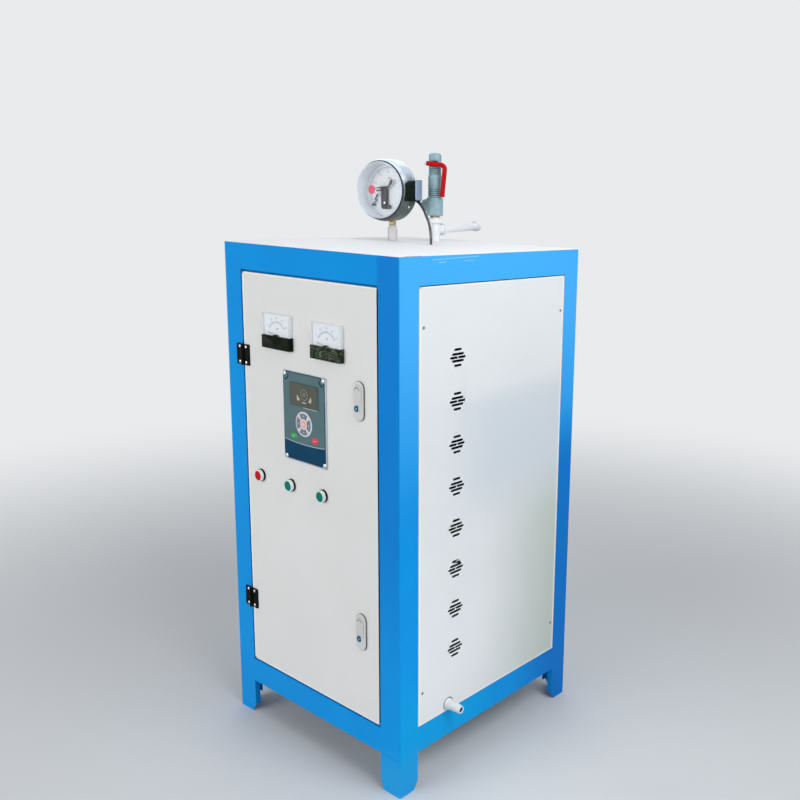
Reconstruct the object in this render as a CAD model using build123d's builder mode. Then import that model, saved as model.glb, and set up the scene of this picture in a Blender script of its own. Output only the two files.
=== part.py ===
from build123d import *
from math import cos, radians, sin, sqrt, tan
import os

os.makedirs("parts", exist_ok=True)

# Free-standing electric steam boiler in a sheet-metal cabinet, in millimetres.
# X runs to the right as seen from the door, Y to the back, Z up from the floor.
# The origin is on the floor, under the centre of the part's bounding box.

# Cabinet frame, folded from sheet steel
cabinet_width = 600.0
cabinet_depth = 600.0
cabinet_height = 1200.0
frame_sheet = 1.5
front_stile = 62.5      # width of a corner post on the front and the back
side_stile = 54.0       # width of a corner post on the sides
top_rail_height = 62.0
bottom_rail_height = 61.0
leg_height = 89.0
rail_flange = 25.0
lip_depth = 12.5        # fold round each opening
stop_width = 14.0       # second fold, which carries a panel or stops the door
corner_bend = 3.0
rail_notch_gap = 1.0
foot_cut_width = 12.0
foot_cut_height = 20.0

# Sheets
top_sheet = 1.5
floor_sheet = 1.5
floor_gap = 1.0
panel_sheet = 1.5
panel_gap = 1.0
panel_bend = 2.0
door_sheet = 1.5
door_gap = 5.0
door_bend = 2.0

# Vents: columns of slot groups, each a diamond of six slots
vent_groups = 8
vent_top_drop = 221.5   # from the cabinet's top to the middle of the highest group
vent_bottom_rise = 299.5
vent_column = -129.0    # from the middle of the panel, towards the door
slot_height = 4.0
slot_long = 35.0
slot_short = 21.5
slot_pair_gap = 3.5
slot_row_near = 7.5
slot_row_far = 17.5

# Blow-down pipe through the right panel
drain_radius = 10.65
drain_thread_radius = 10.48
drain_bore = 7.9
drain_projection = 45.0
drain_thread_length = 40.0
drain_y = -150.0
drain_z = 167.0
drain_hole_radius = 15.0

# Pressure vessel in its round jacket, on a ring
vessel_radius = 205.0
vessel_x = -40.0
vessel_y = 20.0
vessel_ring_height = 13.0
vessel_top_drop = 120.0
vessel_edge = 6.0
ring_radius = 170.0
ring_sheet = 8.0
seat_gap = 0.3          # left between round faces that seat on each other

# Contact pressure gauge on its socket
gauge_x = -177.0
gauge_y = 120.0
gauge_rise = 128.0      # of the dial's middle, from the top plate
gauge_turn = 9.5        # degrees from facing straight out of the door
gauge_ring_radius = 75.0
gauge_ring_front = 51.0
gauge_ring_depth = 8.0
gauge_ring_wall = 1.5
gauge_ring_lip = 5.0
gauge_case_radius = 79.0
gauge_case_back = 5.0
gauge_case_wall = 1.5
gauge_case_edge = 7.0
gauge_case_bevel = 5.0
gauge_window_sheet = 2.5
gauge_dial_radius = 68.0
gauge_dial_front = 17.0
gauge_dial_sheet = 1.5
gauge_movement_radius = 24.0
socket_pipe_radius = 10.65
socket_radius = 12.8
socket_height = 40.0
socket_cone = 11.0
socket_step = 1.0       # left round the stem at the cone's top
gauge_stem_size = 15.0
gauge_stem_edge = 1.5
plate_hole_gap = 1.5

# Terminal box on the side of the gauge, and the cable from it
terminal_depth = 24.0
terminal_height = 52.0
terminal_reach = 98.5
terminal_front = 33.0   # from the gauge's own plane, as on the dial
cover_thickness = 3.5
cover_overlap = 1.0     # by which the cover is wider than the box all round
cable_diameter = 6.5
gland_radius = 6.0
gland_length = 14.0
gland_rise = 3.0        # of its inner end, from the bottom of the box
gland_inset = 5.5
gland_back = 5.0        # from the middle of the box to its rear
cable_route = [         # from the gland to the top plate: from the cabinet's middle, and above the plate
    (-52.0, 112.0, 82.0),
    (-32.0, 98.0, 71.0),
    (-10.0, 82.0, 63.0),
    (9.0, 69.6, 52.0),
    (22.0, 61.5, 36.0),
    (27.0, 58.9, 17.0),
    (27.0, 58.9, 0.0),
]

# Steam tee, outlet pipe and safety valve
steam_x = -80.0
steam_y = 183.0
steam_pipe_radius = 10.65
steam_bore = 7.9
tee_axis_rise = 31.0
tee_rise = 62.0
tee_bead_radius = 15.0
tee_bead_height = 15.0
branch_bead_radius = 16.5
branch_bead_start = 19.0
branch_reach = 29.0
branch_wall = 1.5       # by which the branch is thicker than the pipe
outlet_rise = 2.7       # degrees by which the outlet pipe climbs to its end
outlet_length = 132.0
outlet_collar_radius = 13.5
outlet_collar_length = 12.0
nipple_radius = 10.0
nipple_length = 4.0
valve_body_radius = 20.5
valve_body_height = 47.0
valve_port_rise = 28.0
valve_port_radius = 15.0
valve_port_reach = 37.0
valve_port_bore = 9.3
valve_port_depth = 14.0
bonnet_radius = 16.5
bonnet_height = 76.0
neck_radius = 13.5
neck_height = 17.0
cap_height = 21.0
cap_edge = 3.0
lever_turn = 38.0       # degrees from +X to the lever's level arm
lever_rod_radius = 5.2
lever_stand_off = 24.0  # from the valve's axis to the lever's own plane
lever_rise = 8.5        # of the level arm, from the bonnet's top
lever_tip = 25.0
lever_bend = 25.0
lever_bend_radius = 8.0
lever_foot = 17.0
lever_drop = 82.5
pivot_offset = 13.0
pivot_radius = 2.5
pivot_boss_radius = 5.0
pivot_gap = 0.2
pivot_side_gap = 0.8
pivot_end = 1.5

# Door hinges
hinge_leaf_width = 24.0
hinge_height = 50.0
hinge_leaf_corner = 2.0
hinge_leaf_thickness = 3.0
hinge_knuckle_radius = 4.5
hinge_pin_radius = 2.0
hinge_top_drop = 201.5   # from the opening's top to the middle of the upper hinge
hinge_bottom_rise = 170.0
hinge_slot = 0.5
hinge_pin_gap = 0.2

# Panel meters: each place is a share of the opening's width, and a drop from its top
meter_width = 100.0
meter_height = 80.0
meter_depth = 12.0
meter_wall = 1.8
meter_corner = 3.0
meter_edge = 1.0
meter_places = [(-0.2, 131.0), (0.1684, 134.0)]
meter_body_radius = 31.0
meter_body_depth = 42.0
meter_dial_height = 6.0
meter_fit = 0.4

# Controller
controller_share = -0.0118
controller_drop = 321.0
controller_width = 152.0
controller_height = 203.5
controller_corner = 4.0
controller_plate = 3.0
controller_box_width = 124.0
controller_box_height = 172.0
controller_box_depth = 36.0
screen_width = 102.0
screen_height = 51.0
screen_corner = 2.0
screen_offset_z = 53.0
screen_recess = 1.0
keypad_radius = 29.0
keypad_offset_z = -12.0
key_radius = 8.0
key_offset_x = 37.0
key_offset_z = -44.0
key_rise = 1.2

# Push buttons
button_shares = [-0.3758, -0.1326, 0.1105]
button_drop = 488.0
button_flange_radius = 14.75
button_flange = 3.5
button_bezel_radius = 13.3
button_bezel_front = 11.0
button_cap_radius = 11.7
button_cap_front = 12.0
button_cap_rear = 5.6
button_cap_edge = 0.7
button_stem_radius = 5.0
button_stem_length = 9.0
button_fit = 0.4
button_travel = 3.0
button_floor = 1.6
button_barrel_radius = 11.0
button_barrel_depth = 8.0
button_block = 28.0
button_block_depth = 45.0

# Door locks: a handle hinged at its lower end, and a release button below it
lock_inset = 59.0        # from the opening's right edge
lock_top_drop = 249.5
lock_bottom_rise = 212.0
lock_width = 32.0
lock_height = 86.0
lock_plate = 5.0
lock_edge = 1.5
lock_body_width = 26.0
lock_body_height = 76.0
lock_body_depth = 20.0
pocket_width = 22.6
pocket_low = -9.0       # from the middle of the plate
pocket_high = 36.0
pocket_floor = 4.0
handle_fit = 0.6
handle_thickness = 4.5
handle_rise = 0.5       # in front of the plate
handle_pin_height = 5.0
handle_pin_radius = 1.5
handle_pin_gap = 0.2
release_radius = 6.8
release_drop = 18.0
release_rise = 1.2
cam_width = 16.0
cam_length = 40.0
cam_sheet = 3.0

# Places worked out from the sizes above
outlet_end = steam_y + (branch_reach + outlet_length) * cos(radians(outlet_rise))
outlet_overhang = outlet_end + outlet_collar_radius * sin(radians(outlet_rise)) - cabinet_depth / 2
cabinet_x = -drain_projection / 2
cabinet_y = (meter_depth - outlet_overhang) / 2
left = cabinet_x - cabinet_width / 2
right = cabinet_x + cabinet_width / 2
front = cabinet_y - cabinet_depth / 2
back = cabinet_y + cabinet_depth / 2
frame_top = cabinet_height - top_sheet
opening_bottom = leg_height + bottom_rail_height
opening_top = cabinet_height - top_rail_height
opening_height = opening_top - opening_bottom
opening_middle = (opening_top + opening_bottom) / 2
front_opening = cabinet_width - 2 * front_stile
side_opening = cabinet_depth - 2 * side_stile
vent_top = cabinet_height - vent_top_drop
vent_pitch = (vent_top - vent_bottom_rise) / (vent_groups - 1)
vessel_top = cabinet_height - vessel_top_drop
gauge_z = cabinet_height + gauge_rise
socket_top = cabinet_height + socket_height
tee_axis_z = cabinet_height + tee_axis_rise
tee_top = cabinet_height + tee_rise
valve_bottom = tee_top + nipple_length
valve_body_top = valve_bottom + valve_body_height
valve_port_z = valve_bottom + valve_port_rise
bonnet_top = valve_body_top + bonnet_height
cap_bottom = bonnet_top + neck_height
cap_top = cap_bottom + cap_height
lever_z = bonnet_top + lever_rise
hinge_levels = [opening_bottom + hinge_bottom_rise, opening_top - hinge_top_drop]
meter_points = [(front_opening * share, opening_top - drop) for share, drop in meter_places]
controller_x = front_opening * controller_share
controller_z = opening_top - controller_drop
button_points = [(front_opening * share, opening_top - button_drop) for share in button_shares]
lock_x = front_opening / 2 - lock_inset
lock_levels = [opening_bottom + lock_bottom_rise, opening_top - lock_top_drop]

# One plane on each face of the cabinet: x to the right seen from outside, y up, z outwards
front_face = Plane(origin=(cabinet_x, front, 0), x_dir=(1, 0, 0), z_dir=(0, -1, 0))
back_face = Plane(origin=(cabinet_x, back, 0), x_dir=(-1, 0, 0), z_dir=(0, 1, 0))
left_face = Plane(origin=(left, cabinet_y, 0), x_dir=(0, -1, 0), z_dir=(-1, 0, 0))
right_face = Plane(origin=(right, cabinet_y, 0), x_dir=(0, 1, 0), z_dir=(1, 0, 0))


def corner_post(side_x, side_y):
    """A folded corner post with its leg; side_x and side_y are -1 or 1 and name its corner."""
    outer_x = cabinet_x + side_x * cabinet_width / 2
    outer_y = cabinet_y + side_y * cabinet_depth / 2
    inner_x = outer_x - side_x * front_stile
    inner_y = outer_y - side_y * side_stile
    stop_y = outer_y - side_y * lip_depth
    stop_x = outer_x - side_x * lip_depth
    folds = [
        (inner_x - side_x * stop_width, stop_y),
        (inner_x, stop_y),
        (inner_x, outer_y),
        (outer_x, outer_y),
        (outer_x, inner_y),
        (stop_x, inner_y),
        (stop_x, inner_y - side_y * stop_width),
    ]
    inside = Side.RIGHT if side_x * side_y > 0 else Side.LEFT
    with BuildPart() as post:
        with BuildSketch() as profile:
            with BuildLine():
                Polyline(*folds)
                offset(amount=frame_sheet, side=inside, kind=Kind.INTERSECTION)
            make_face()
            corner = profile.vertices().sort_by_distance((outer_x, outer_y))
            fillet(corner[0], corner_bend)
            fillet(corner[1], corner_bend - frame_sheet)
        extrude(amount=frame_top)
        # the stop folds run only between the rails
        for low, high in ((0, opening_bottom + stop_width), (opening_top - stop_width, frame_top)):
            with BuildSketch(Plane.XY.offset(low)):
                with Locations((inner_x - side_x * stop_width / 2, stop_y)):
                    Rectangle(stop_width, 4 * frame_sheet)
                with Locations((stop_x, inner_y - side_y * stop_width / 2)):
                    Rectangle(4 * frame_sheet, stop_width)
            extrude(amount=high - low, mode=Mode.SUBTRACT)
        # sloping cuts at the inner corners of the foot
        with BuildSketch(Plane.XZ.offset(-outer_y)):
            with BuildLine():
                Polyline((inner_x, 0), (inner_x + side_x * foot_cut_width, 0),
                         (inner_x, foot_cut_height), close=True)
            make_face()
        extrude(amount=lip_depth + frame_sheet, both=True, mode=Mode.SUBTRACT)
        with BuildSketch(Plane.YZ.offset(outer_x)):
            with BuildLine():
                Polyline((inner_y, 0), (inner_y + side_y * foot_cut_width, 0),
                         (inner_y, foot_cut_height), close=True)
            make_face()
        extrude(amount=lip_depth + frame_sheet, both=True, mode=Mode.SUBTRACT)
    return post.part


def rail_set(opening_edge, outer_edge, stop_side):
    """The four rails at one level, as channels between the posts; stop_side is -1 below, 1 above."""
    folds = [
        (lip_depth, opening_edge + stop_side * stop_width),
        (lip_depth, opening_edge),
        (0, opening_edge),
        (0, outer_edge),
        (rail_flange, outer_edge),
    ]
    inside = Side.RIGHT if stop_side < 0 else Side.LEFT
    with BuildPart() as rails:
        for face, run in ((front_face, front_opening), (back_face, front_opening),
                          (left_face, side_opening), (right_face, side_opening)):
            inward = face.z_dir * -1
            section = Plane(origin=face.origin, x_dir=inward, z_dir=inward.cross(Vector(0, 0, 1)))
            with BuildSketch(section):
                with BuildLine():
                    Polyline(*folds)
                    offset(amount=frame_sheet, side=inside, kind=Kind.INTERSECTION)
                make_face()
            extrude(amount=run / 2, both=True)
    return rails.part


def pan(face, width, height, depth, sheet, bend):
    """A shallow tray with folded edges, flush with the face and open to the inside."""
    with BuildPart() as tray:
        with BuildSketch(face):
            with Locations((0, opening_middle)):
                Rectangle(width, height)
        extrude(amount=-depth)
        outer = tray.faces().sort_by(Axis(face.origin, face.z_dir))[-1]
        fillet(outer.edges(), bend)
        inner = tray.faces().sort_by(Axis(face.origin, face.z_dir))[0]
        offset(amount=-sheet, openings=inner)
    return tray.part


def vent_slots(face, column):
    """All slots of one panel, as a solid to cut away."""
    with BuildPart() as slots:
        with BuildSketch(face):
            for group in range(vent_groups):
                middle = vent_top - group * vent_pitch
                with Locations((column, middle + slot_row_far), (column, middle - slot_row_far)):
                    SlotOverall(slot_short, slot_height)
                with Locations((column, middle + slot_row_near), (column, middle - slot_row_near)):
                    SlotOverall(slot_long, slot_height)
                step = (slot_short + slot_pair_gap) / 2
                with Locations((column - step, middle), (column + step, middle)):
                    SlotOverall(slot_short, slot_height)
        extrude(amount=panel_sheet, both=True)
    return slots.part


# Frame
post_front_left = corner_post(-1, -1)
post_front_right = corner_post(1, -1)
post_back_left = corner_post(-1, 1)
post_back_right = corner_post(1, 1)
rails_top = rail_set(opening_top, frame_top, -1)
with BuildPart() as rails_low:
    add(rail_set(opening_bottom, leg_height, 1))
    # room in the stop fold for the blow-down pipe
    with BuildSketch(right_face.offset(-lip_depth)):
        with Locations((drain_y, drain_z)):
            Circle(drain_hole_radius)
    extrude(amount=2 * frame_sheet, both=True, mode=Mode.SUBTRACT)
rails_bottom = rails_low.part
frame_pieces = {
    "post_front_left": post_front_left,
    "post_front_right": post_front_right,
    "post_back_left": post_back_left,
    "post_back_right": post_back_right,
    "rails_top": rails_top,
    "rails_bottom": rails_bottom,
}
for piece_name, piece in frame_pieces.items():
    piece.label = piece_name
    export_step(piece, f"parts/{piece_name}.step")

# Top plate, with holes for the two stubs and the cable
with BuildPart() as top_plate:
    with BuildSketch(Plane.XY.offset(frame_top)):
        with Locations((cabinet_x, cabinet_y)):
            RectangleRounded(cabinet_width, cabinet_depth, corner_bend)
        with Locations((cabinet_x + gauge_x, cabinet_y + gauge_y)):
            Circle(socket_pipe_radius + plate_hole_gap, mode=Mode.SUBTRACT)
        with Locations((cabinet_x + steam_x, cabinet_y + steam_y)):
            Circle(steam_pipe_radius + plate_hole_gap, mode=Mode.SUBTRACT)
    extrude(amount=top_sheet)
top_plate.part.label = "top_plate"
export_step(top_plate.part, "parts/top_plate.step")

# Floor plate on the bottom flanges, notched round the posts
with BuildPart() as floor_plate:
    with BuildSketch(Plane.XY.offset(leg_height + frame_sheet)):
        inset = 2 * (frame_sheet + floor_gap)
        with Locations((cabinet_x, cabinet_y)):
            Rectangle(cabinet_width - inset, cabinet_depth - inset)
            with GridLocations(cabinet_width, cabinet_depth, 2, 2):
                Rectangle(2 * (front_stile + floor_gap), 2 * (side_stile + floor_gap), mode=Mode.SUBTRACT)
    extrude(amount=floor_sheet)
floor_plate.part.label = "floor_plate"
export_step(floor_plate.part, "parts/floor_plate.step")

# Fixed panels: trays whose folded edges rest on the stop folds
panel_width = side_opening - 2 * panel_gap
panel_height = opening_height - 2 * panel_gap
with BuildPart() as panel_right:
    add(pan(right_face, panel_width, panel_height, lip_depth, panel_sheet, panel_bend))
    add(vent_slots(right_face, vent_column), mode=Mode.SUBTRACT)
    with BuildSketch(right_face):
        with Locations((drain_y, drain_z)):
            Circle(drain_hole_radius)
    extrude(amount=-lip_depth, mode=Mode.SUBTRACT)
panel_right.part.label = "panel_right"
export_step(panel_right.part, "parts/panel_right.step")

with BuildPart() as panel_left:
    add(pan(left_face, panel_width, panel_height, lip_depth, panel_sheet, panel_bend))
    add(vent_slots(left_face, -vent_column), mode=Mode.SUBTRACT)
panel_left.part.label = "panel_left"
export_step(panel_left.part, "parts/panel_left.step")

back_width = front_opening - 2 * panel_gap
panel_back = pan(back_face, back_width, panel_height, lip_depth, panel_sheet, panel_bend)
panel_back.label = "panel_back"
export_step(panel_back, "parts/panel_back.step")

# Vessel jacket on its ring
vessel_centre = (cabinet_x + vessel_x, cabinet_y + vessel_y)
ring_bottom = leg_height + frame_sheet + floor_sheet
vessel_bottom = ring_bottom + vessel_ring_height
with BuildPart() as vessel_ring:
    with BuildSketch(Plane.XY.offset(ring_bottom)):
        with Locations(vessel_centre):
            Circle(ring_radius)
            Circle(ring_radius - ring_sheet, mode=Mode.SUBTRACT)
    extrude(amount=vessel_bottom - ring_bottom)
vessel_ring.part.label = "vessel_ring"
export_step(vessel_ring.part, "parts/vessel_ring.step")

with BuildPart() as boiler_vessel:
    with BuildSketch(Plane.XY.offset(vessel_bottom)):
        with Locations(vessel_centre):
            Circle(vessel_radius)
    extrude(amount=vessel_top - vessel_bottom)
    chamfer(boiler_vessel.edges().filter_by(GeomType.CIRCLE), vessel_edge)
boiler_vessel.part.label = "boiler_vessel"
export_step(boiler_vessel.part, "parts/boiler_vessel.step")

# Blow-down pipe: from the jacket straight out through the right panel
drain_centre = Plane(origin=(vessel_centre[0], cabinet_y + drain_y, drain_z), x_dir=(0, 1, 0), z_dir=(1, 0, 0))
drain_reach = right + drain_projection - vessel_centre[0]
thread_start = drain_reach - drain_thread_length
drain_chamfer = 2.0
with BuildPart() as drain_pipe:
    with BuildSketch(drain_centre):
        Circle(drain_radius)
    extrude(amount=thread_start)
    with BuildSketch(drain_centre.offset(thread_start)):
        Circle(drain_thread_radius)
    extrude(amount=drain_thread_length)
    chamfer(drain_pipe.edges().sort_by(Axis.X)[-1], drain_chamfer)
    with BuildSketch(drain_centre):
        Circle(drain_bore)
    extrude(amount=drain_reach, mode=Mode.SUBTRACT)
    with BuildSketch(Plane.XY.offset(drain_z - 2 * drain_radius)):
        with Locations(vessel_centre):
            Circle(vessel_radius + seat_gap)
    extrude(amount=4 * drain_radius, mode=Mode.SUBTRACT)
drain_pipe.part.label = "drain_pipe"
export_step(drain_pipe.part, "parts/drain_pipe.step")

# Gauge socket: a pipe from the vessel, through the top plate, with a screwed socket on it
gauge_foot = (cabinet_x + gauge_x, cabinet_y + gauge_y)
gauge_section = Plane(origin=(*gauge_foot, 0), x_dir=(1, 0, 0), z_dir=(0, -1, 0))
stem_radius = gauge_stem_size / 2
with BuildPart() as gauge_socket:
    with BuildSketch(gauge_section):
        with BuildLine():
            Polyline((0, vessel_top), (socket_pipe_radius, vessel_top),
                     (socket_pipe_radius, cabinet_height + seat_gap),
                     (socket_radius, cabinet_height + seat_gap), (socket_radius, socket_top - socket_cone),
                     (stem_radius + socket_step, socket_top), (0, socket_top), close=True)
        make_face()
    revolve(axis=Axis((*gauge_foot, 0), (0, 0, 1)))
gauge_socket.part.label = "gauge_socket"
export_step(gauge_socket.part, "parts/gauge_socket.step")

# Gauge, in its own plane: x to the right of the dial, y up, z out of the dial
turn = radians(gauge_turn)
gauge_plane = Plane(origin=(*gauge_foot, gauge_z), x_dir=(cos(turn), sin(turn), 0),
                    z_dir=(sin(turn), -cos(turn), 0))
case_front = gauge_ring_front - gauge_ring_depth
case_section = Plane(origin=gauge_plane.origin, x_dir=gauge_plane.x_dir, z_dir=gauge_plane.y_dir * -1)
gauge_axis = Axis(gauge_plane.origin, gauge_plane.z_dir)
with BuildPart() as gauge_case:
    with BuildSketch(case_section):
        with BuildLine():
            Polyline((0, -gauge_case_back), (gauge_case_radius - gauge_case_bevel, -gauge_case_back),
                     (gauge_case_radius, gauge_case_bevel - gauge_case_back),
                     (gauge_case_radius, case_front - gauge_case_edge),
                     (gauge_ring_radius - gauge_ring_wall, case_front),
                     (gauge_dial_radius, case_front),
                     (gauge_dial_radius, case_front - gauge_case_wall),
                     (gauge_ring_radius - gauge_ring_wall, case_front - gauge_case_wall),
                     (gauge_case_radius - gauge_case_wall, case_front - gauge_case_edge - gauge_case_wall),
                     (gauge_case_radius - gauge_case_wall, gauge_case_bevel - gauge_case_back),
                     (gauge_case_radius - gauge_case_bevel, gauge_case_wall - gauge_case_back),
                     (0, gauge_case_wall - gauge_case_back), close=True)
        make_face()
    revolve(axis=gauge_axis)
gauge_case.part.label = "gauge_case"
export_step(gauge_case.part, "parts/gauge_case.step")

with BuildPart() as gauge_window:
    with BuildSketch(gauge_plane.offset(case_front)):
        Circle(gauge_ring_radius - gauge_ring_wall - seat_gap)
    extrude(amount=gauge_window_sheet)
gauge_window.part.label = "gauge_window"
export_step(gauge_window.part, "parts/gauge_window.step")

with BuildPart() as gauge_ring:
    with BuildSketch(gauge_plane.offset(case_front)):
        Circle(gauge_ring_radius)
        Circle(gauge_ring_radius - gauge_ring_wall, mode=Mode.SUBTRACT)
    extrude(amount=gauge_ring_depth)
    with BuildSketch(gauge_plane.offset(case_front + gauge_window_sheet)):
        Circle(gauge_ring_radius)
        Circle(gauge_ring_radius - gauge_ring_lip, mode=Mode.SUBTRACT)
    extrude(amount=gauge_ring_depth - gauge_window_sheet)
gauge_ring.part.label = "gauge_ring"
export_step(gauge_ring.part, "parts/gauge_ring.step")

with BuildPart() as gauge_dial:
    with BuildSketch(gauge_plane.offset(gauge_dial_front - gauge_dial_sheet)):
        Circle(gauge_dial_radius)
    extrude(amount=gauge_dial_sheet)
    with BuildSketch(gauge_plane.offset(gauge_case_wall - gauge_case_back)):
        Circle(gauge_movement_radius)
    extrude(amount=gauge_dial_front - gauge_dial_sheet + gauge_case_back - gauge_case_wall)
gauge_dial.part.label = "gauge_dial"
export_step(gauge_dial.part, "parts/gauge_dial.step")

# Square brass shank between the case and the socket
with BuildPart() as gauge_stem:
    with BuildSketch(Plane(origin=(*gauge_foot, socket_top), x_dir=gauge_plane.x_dir, z_dir=(0, 0, 1))):
        Rectangle(gauge_stem_size, gauge_stem_size)
    extrude(amount=gauge_z - socket_top)
    chamfer(gauge_stem.edges().filter_by(Axis.Z), gauge_stem_edge)
    with BuildSketch(gauge_plane.offset(-2 * gauge_case_back)):
        Circle(gauge_case_radius + seat_gap)
    extrude(amount=gauge_case_radius, mode=Mode.SUBTRACT)
gauge_stem.part.label = "gauge_stem"
export_step(gauge_stem.part, "parts/gauge_stem.step")

# Terminal box on the gauge's side, with its cover and the cable gland
terminal_plane = gauge_plane.offset(terminal_front - terminal_depth)
with BuildPart() as terminal_box:
    with BuildSketch(terminal_plane):
        with Locations((terminal_reach / 2, 0)):
            Rectangle(terminal_reach, terminal_height)
        Circle(gauge_case_radius + seat_gap, mode=Mode.SUBTRACT)
    extrude(amount=terminal_depth)
    gland_root = gauge_plane.from_local_coords(
        Vector(terminal_reach - gland_inset, gland_rise - terminal_height / 2,
               terminal_front - terminal_depth / 2 - gland_back))
    route = [Vector(cabinet_x + x, cabinet_y + y, cabinet_height + rise) for x, y, rise in cable_route]
    gland_direction = (route[0] - gland_root).normalized()
    with BuildSketch(Plane(origin=gland_root, z_dir=gland_direction)):
        Circle(gland_radius)
    extrude(amount=gland_length)
terminal_box.part.label = "terminal_box"
export_step(terminal_box.part, "parts/terminal_box.step")

with BuildPart() as terminal_cover:
    with BuildSketch(terminal_plane.offset(-cover_overlap)):
        with Locations((terminal_reach + cover_thickness / 2, 0)):
            Rectangle(cover_thickness, terminal_height + 2 * cover_overlap)
    extrude(amount=terminal_depth + 2 * cover_overlap)
    add(terminal_box.part, mode=Mode.SUBTRACT)
terminal_cover.part.label = "terminal_cover"
export_step(terminal_cover.part, "parts/terminal_cover.step")

# Cable from the terminal box to the top plate
route.insert(0, gland_root + gland_direction * gland_length)
runs = [(b - a).length for a, b in zip(route, route[1:])]
radii = []
for first, second, third, run_in, run_out in zip(route, route[1:], route[2:], runs, runs[1:]):
    half_turn = radians((second - first).get_angle(third - second)) / 2
    radii.append(0.45 * min(run_in, run_out) / tan(half_turn))
print("cable runs", [round(run, 1) for run in runs], "radii", [round(radius, 1) for radius in radii])
with BuildPart() as gauge_cable:
    with BuildLine() as cable_line:
        FilletPolyline(*route, radius=radii)
    with BuildSketch(Plane(origin=route[0], z_dir=route[1] - route[0])):
        Circle(cable_diameter / 2)
    sweep()
print("cable length", round(cable_line.wire().length, 1), "volume over section",
      round(gauge_cable.part.volume / (3.14159265 * cable_diameter ** 2 / 4), 1))
gauge_cable.part.label = "gauge_cable"
export_step(gauge_cable.part, "parts/gauge_cable.step")

# Steam tee: pipe from the vessel, bead at the top, branch to the back
steam_foot = (cabinet_x + steam_x, cabinet_y + steam_y)
rise = radians(outlet_rise)
outlet_direction = Vector(0, cos(rise), sin(rise))
tee_centre = Vector(*steam_foot, tee_axis_z)
branch_plane = Plane(origin=tee_centre, x_dir=(1, 0, 0), z_dir=outlet_direction)
with BuildPart() as steam_tee:
    with BuildSketch(Plane.XY.offset(vessel_top)):
        with Locations(steam_foot):
            Circle(steam_pipe_radius)
    extrude(amount=tee_top - vessel_top)
    with BuildSketch(Plane.XY.offset(tee_top - tee_bead_height)):
        with Locations(steam_foot):
            Circle(tee_bead_radius)
    extrude(amount=tee_bead_height)
    with BuildSketch(branch_plane):
        Circle(steam_pipe_radius + branch_wall)
    extrude(amount=branch_reach)
    with BuildSketch(branch_plane.offset(branch_bead_start)):
        Circle(branch_bead_radius)
    extrude(amount=branch_reach - branch_bead_start)
    with BuildSketch(branch_plane):
        Circle(steam_bore)
    extrude(amount=branch_reach, mode=Mode.SUBTRACT)
steam_tee.part.label = "steam_tee"
export_step(steam_tee.part, "parts/steam_tee.step")

with BuildPart() as outlet_pipe:
    with BuildSketch(branch_plane.offset(branch_reach)):
        Circle(steam_pipe_radius)
    extrude(amount=outlet_length)
    with BuildSketch(branch_plane.offset(branch_reach + outlet_length - outlet_collar_length)):
        Circle(outlet_collar_radius)
    extrude(amount=outlet_collar_length)
    with BuildSketch(branch_plane.offset(branch_reach)):
        Circle(steam_bore)
    extrude(amount=outlet_length, mode=Mode.SUBTRACT)
outlet_pipe.part.label = "outlet_pipe"
export_step(outlet_pipe.part, "parts/outlet_pipe.step")

with BuildPart() as valve_nipple:
    with BuildSketch(Plane.XY.offset(tee_top)):
        with Locations(steam_foot):
            Circle(nipple_radius)
    extrude(amount=valve_bottom - tee_top)
valve_nipple.part.label = "valve_nipple"
export_step(valve_nipple.part, "parts/valve_nipple.step")

# Safety valve
port_plane = Plane(origin=(*steam_foot, valve_port_z), x_dir=(0, 1, 0), z_dir=(-1, 0, 0))
with BuildPart() as valve_body:
    with BuildSketch(Plane.XY.offset(valve_bottom)):
        with Locations(steam_foot):
            Circle(valve_body_radius)
    extrude(amount=valve_body_top - valve_bottom)
    with BuildSketch(port_plane):
        Circle(valve_port_radius)
    extrude(amount=valve_port_reach)
    with BuildSketch(port_plane.offset(valve_port_reach)):
        Circle(valve_port_bore)
    extrude(amount=-valve_port_depth, mode=Mode.SUBTRACT)
valve_body.part.label = "valve_body"
export_step(valve_body.part, "parts/valve_body.step")

# Bonnet, with the boss and pin that the lever turns on
lever_angle = radians(lever_turn)
lever_x = Vector(cos(lever_angle), sin(lever_angle), 0)
lever_out = Vector(sin(lever_angle), -cos(lever_angle), 0)
axis_point = Vector(*steam_foot, 0)
lever_plane = Plane(origin=axis_point, x_dir=lever_x, z_dir=lever_out)
with BuildPart() as valve_bonnet:
    with BuildSketch(Plane.XY.offset(valve_body_top)):
        with Locations(steam_foot):
            Circle(bonnet_radius)
    extrude(amount=bonnet_top - valve_body_top)
    with BuildSketch(Plane.XY.offset(bonnet_top)):
        with Locations(steam_foot):
            Circle(neck_radius)
    extrude(amount=cap_bottom - bonnet_top)
    with BuildSketch(lever_plane):
        with Locations((-pivot_offset, lever_z)):
            Circle(pivot_boss_radius)
    extrude(amount=lever_stand_off - lever_rod_radius - pivot_side_gap)
    with BuildSketch(lever_plane):
        with Locations((-pivot_offset, lever_z)):
            Circle(pivot_radius)
    extrude(amount=lever_stand_off + lever_rod_radius + pivot_end)
valve_bonnet.part.label = "valve_bonnet"
export_step(valve_bonnet.part, "parts/valve_bonnet.step")

with BuildPart() as valve_cap:
    with BuildSketch(Plane.XY.offset(cap_bottom)):
        with Locations(steam_foot):
            Circle(bonnet_radius)
    extrude(amount=cap_top - cap_bottom)
    chamfer(valve_cap.edges().group_by(Axis.Z)[-1], cap_edge)
valve_cap.part.label = "valve_cap"
export_step(valve_cap.part, "parts/valve_cap.step")

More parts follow.
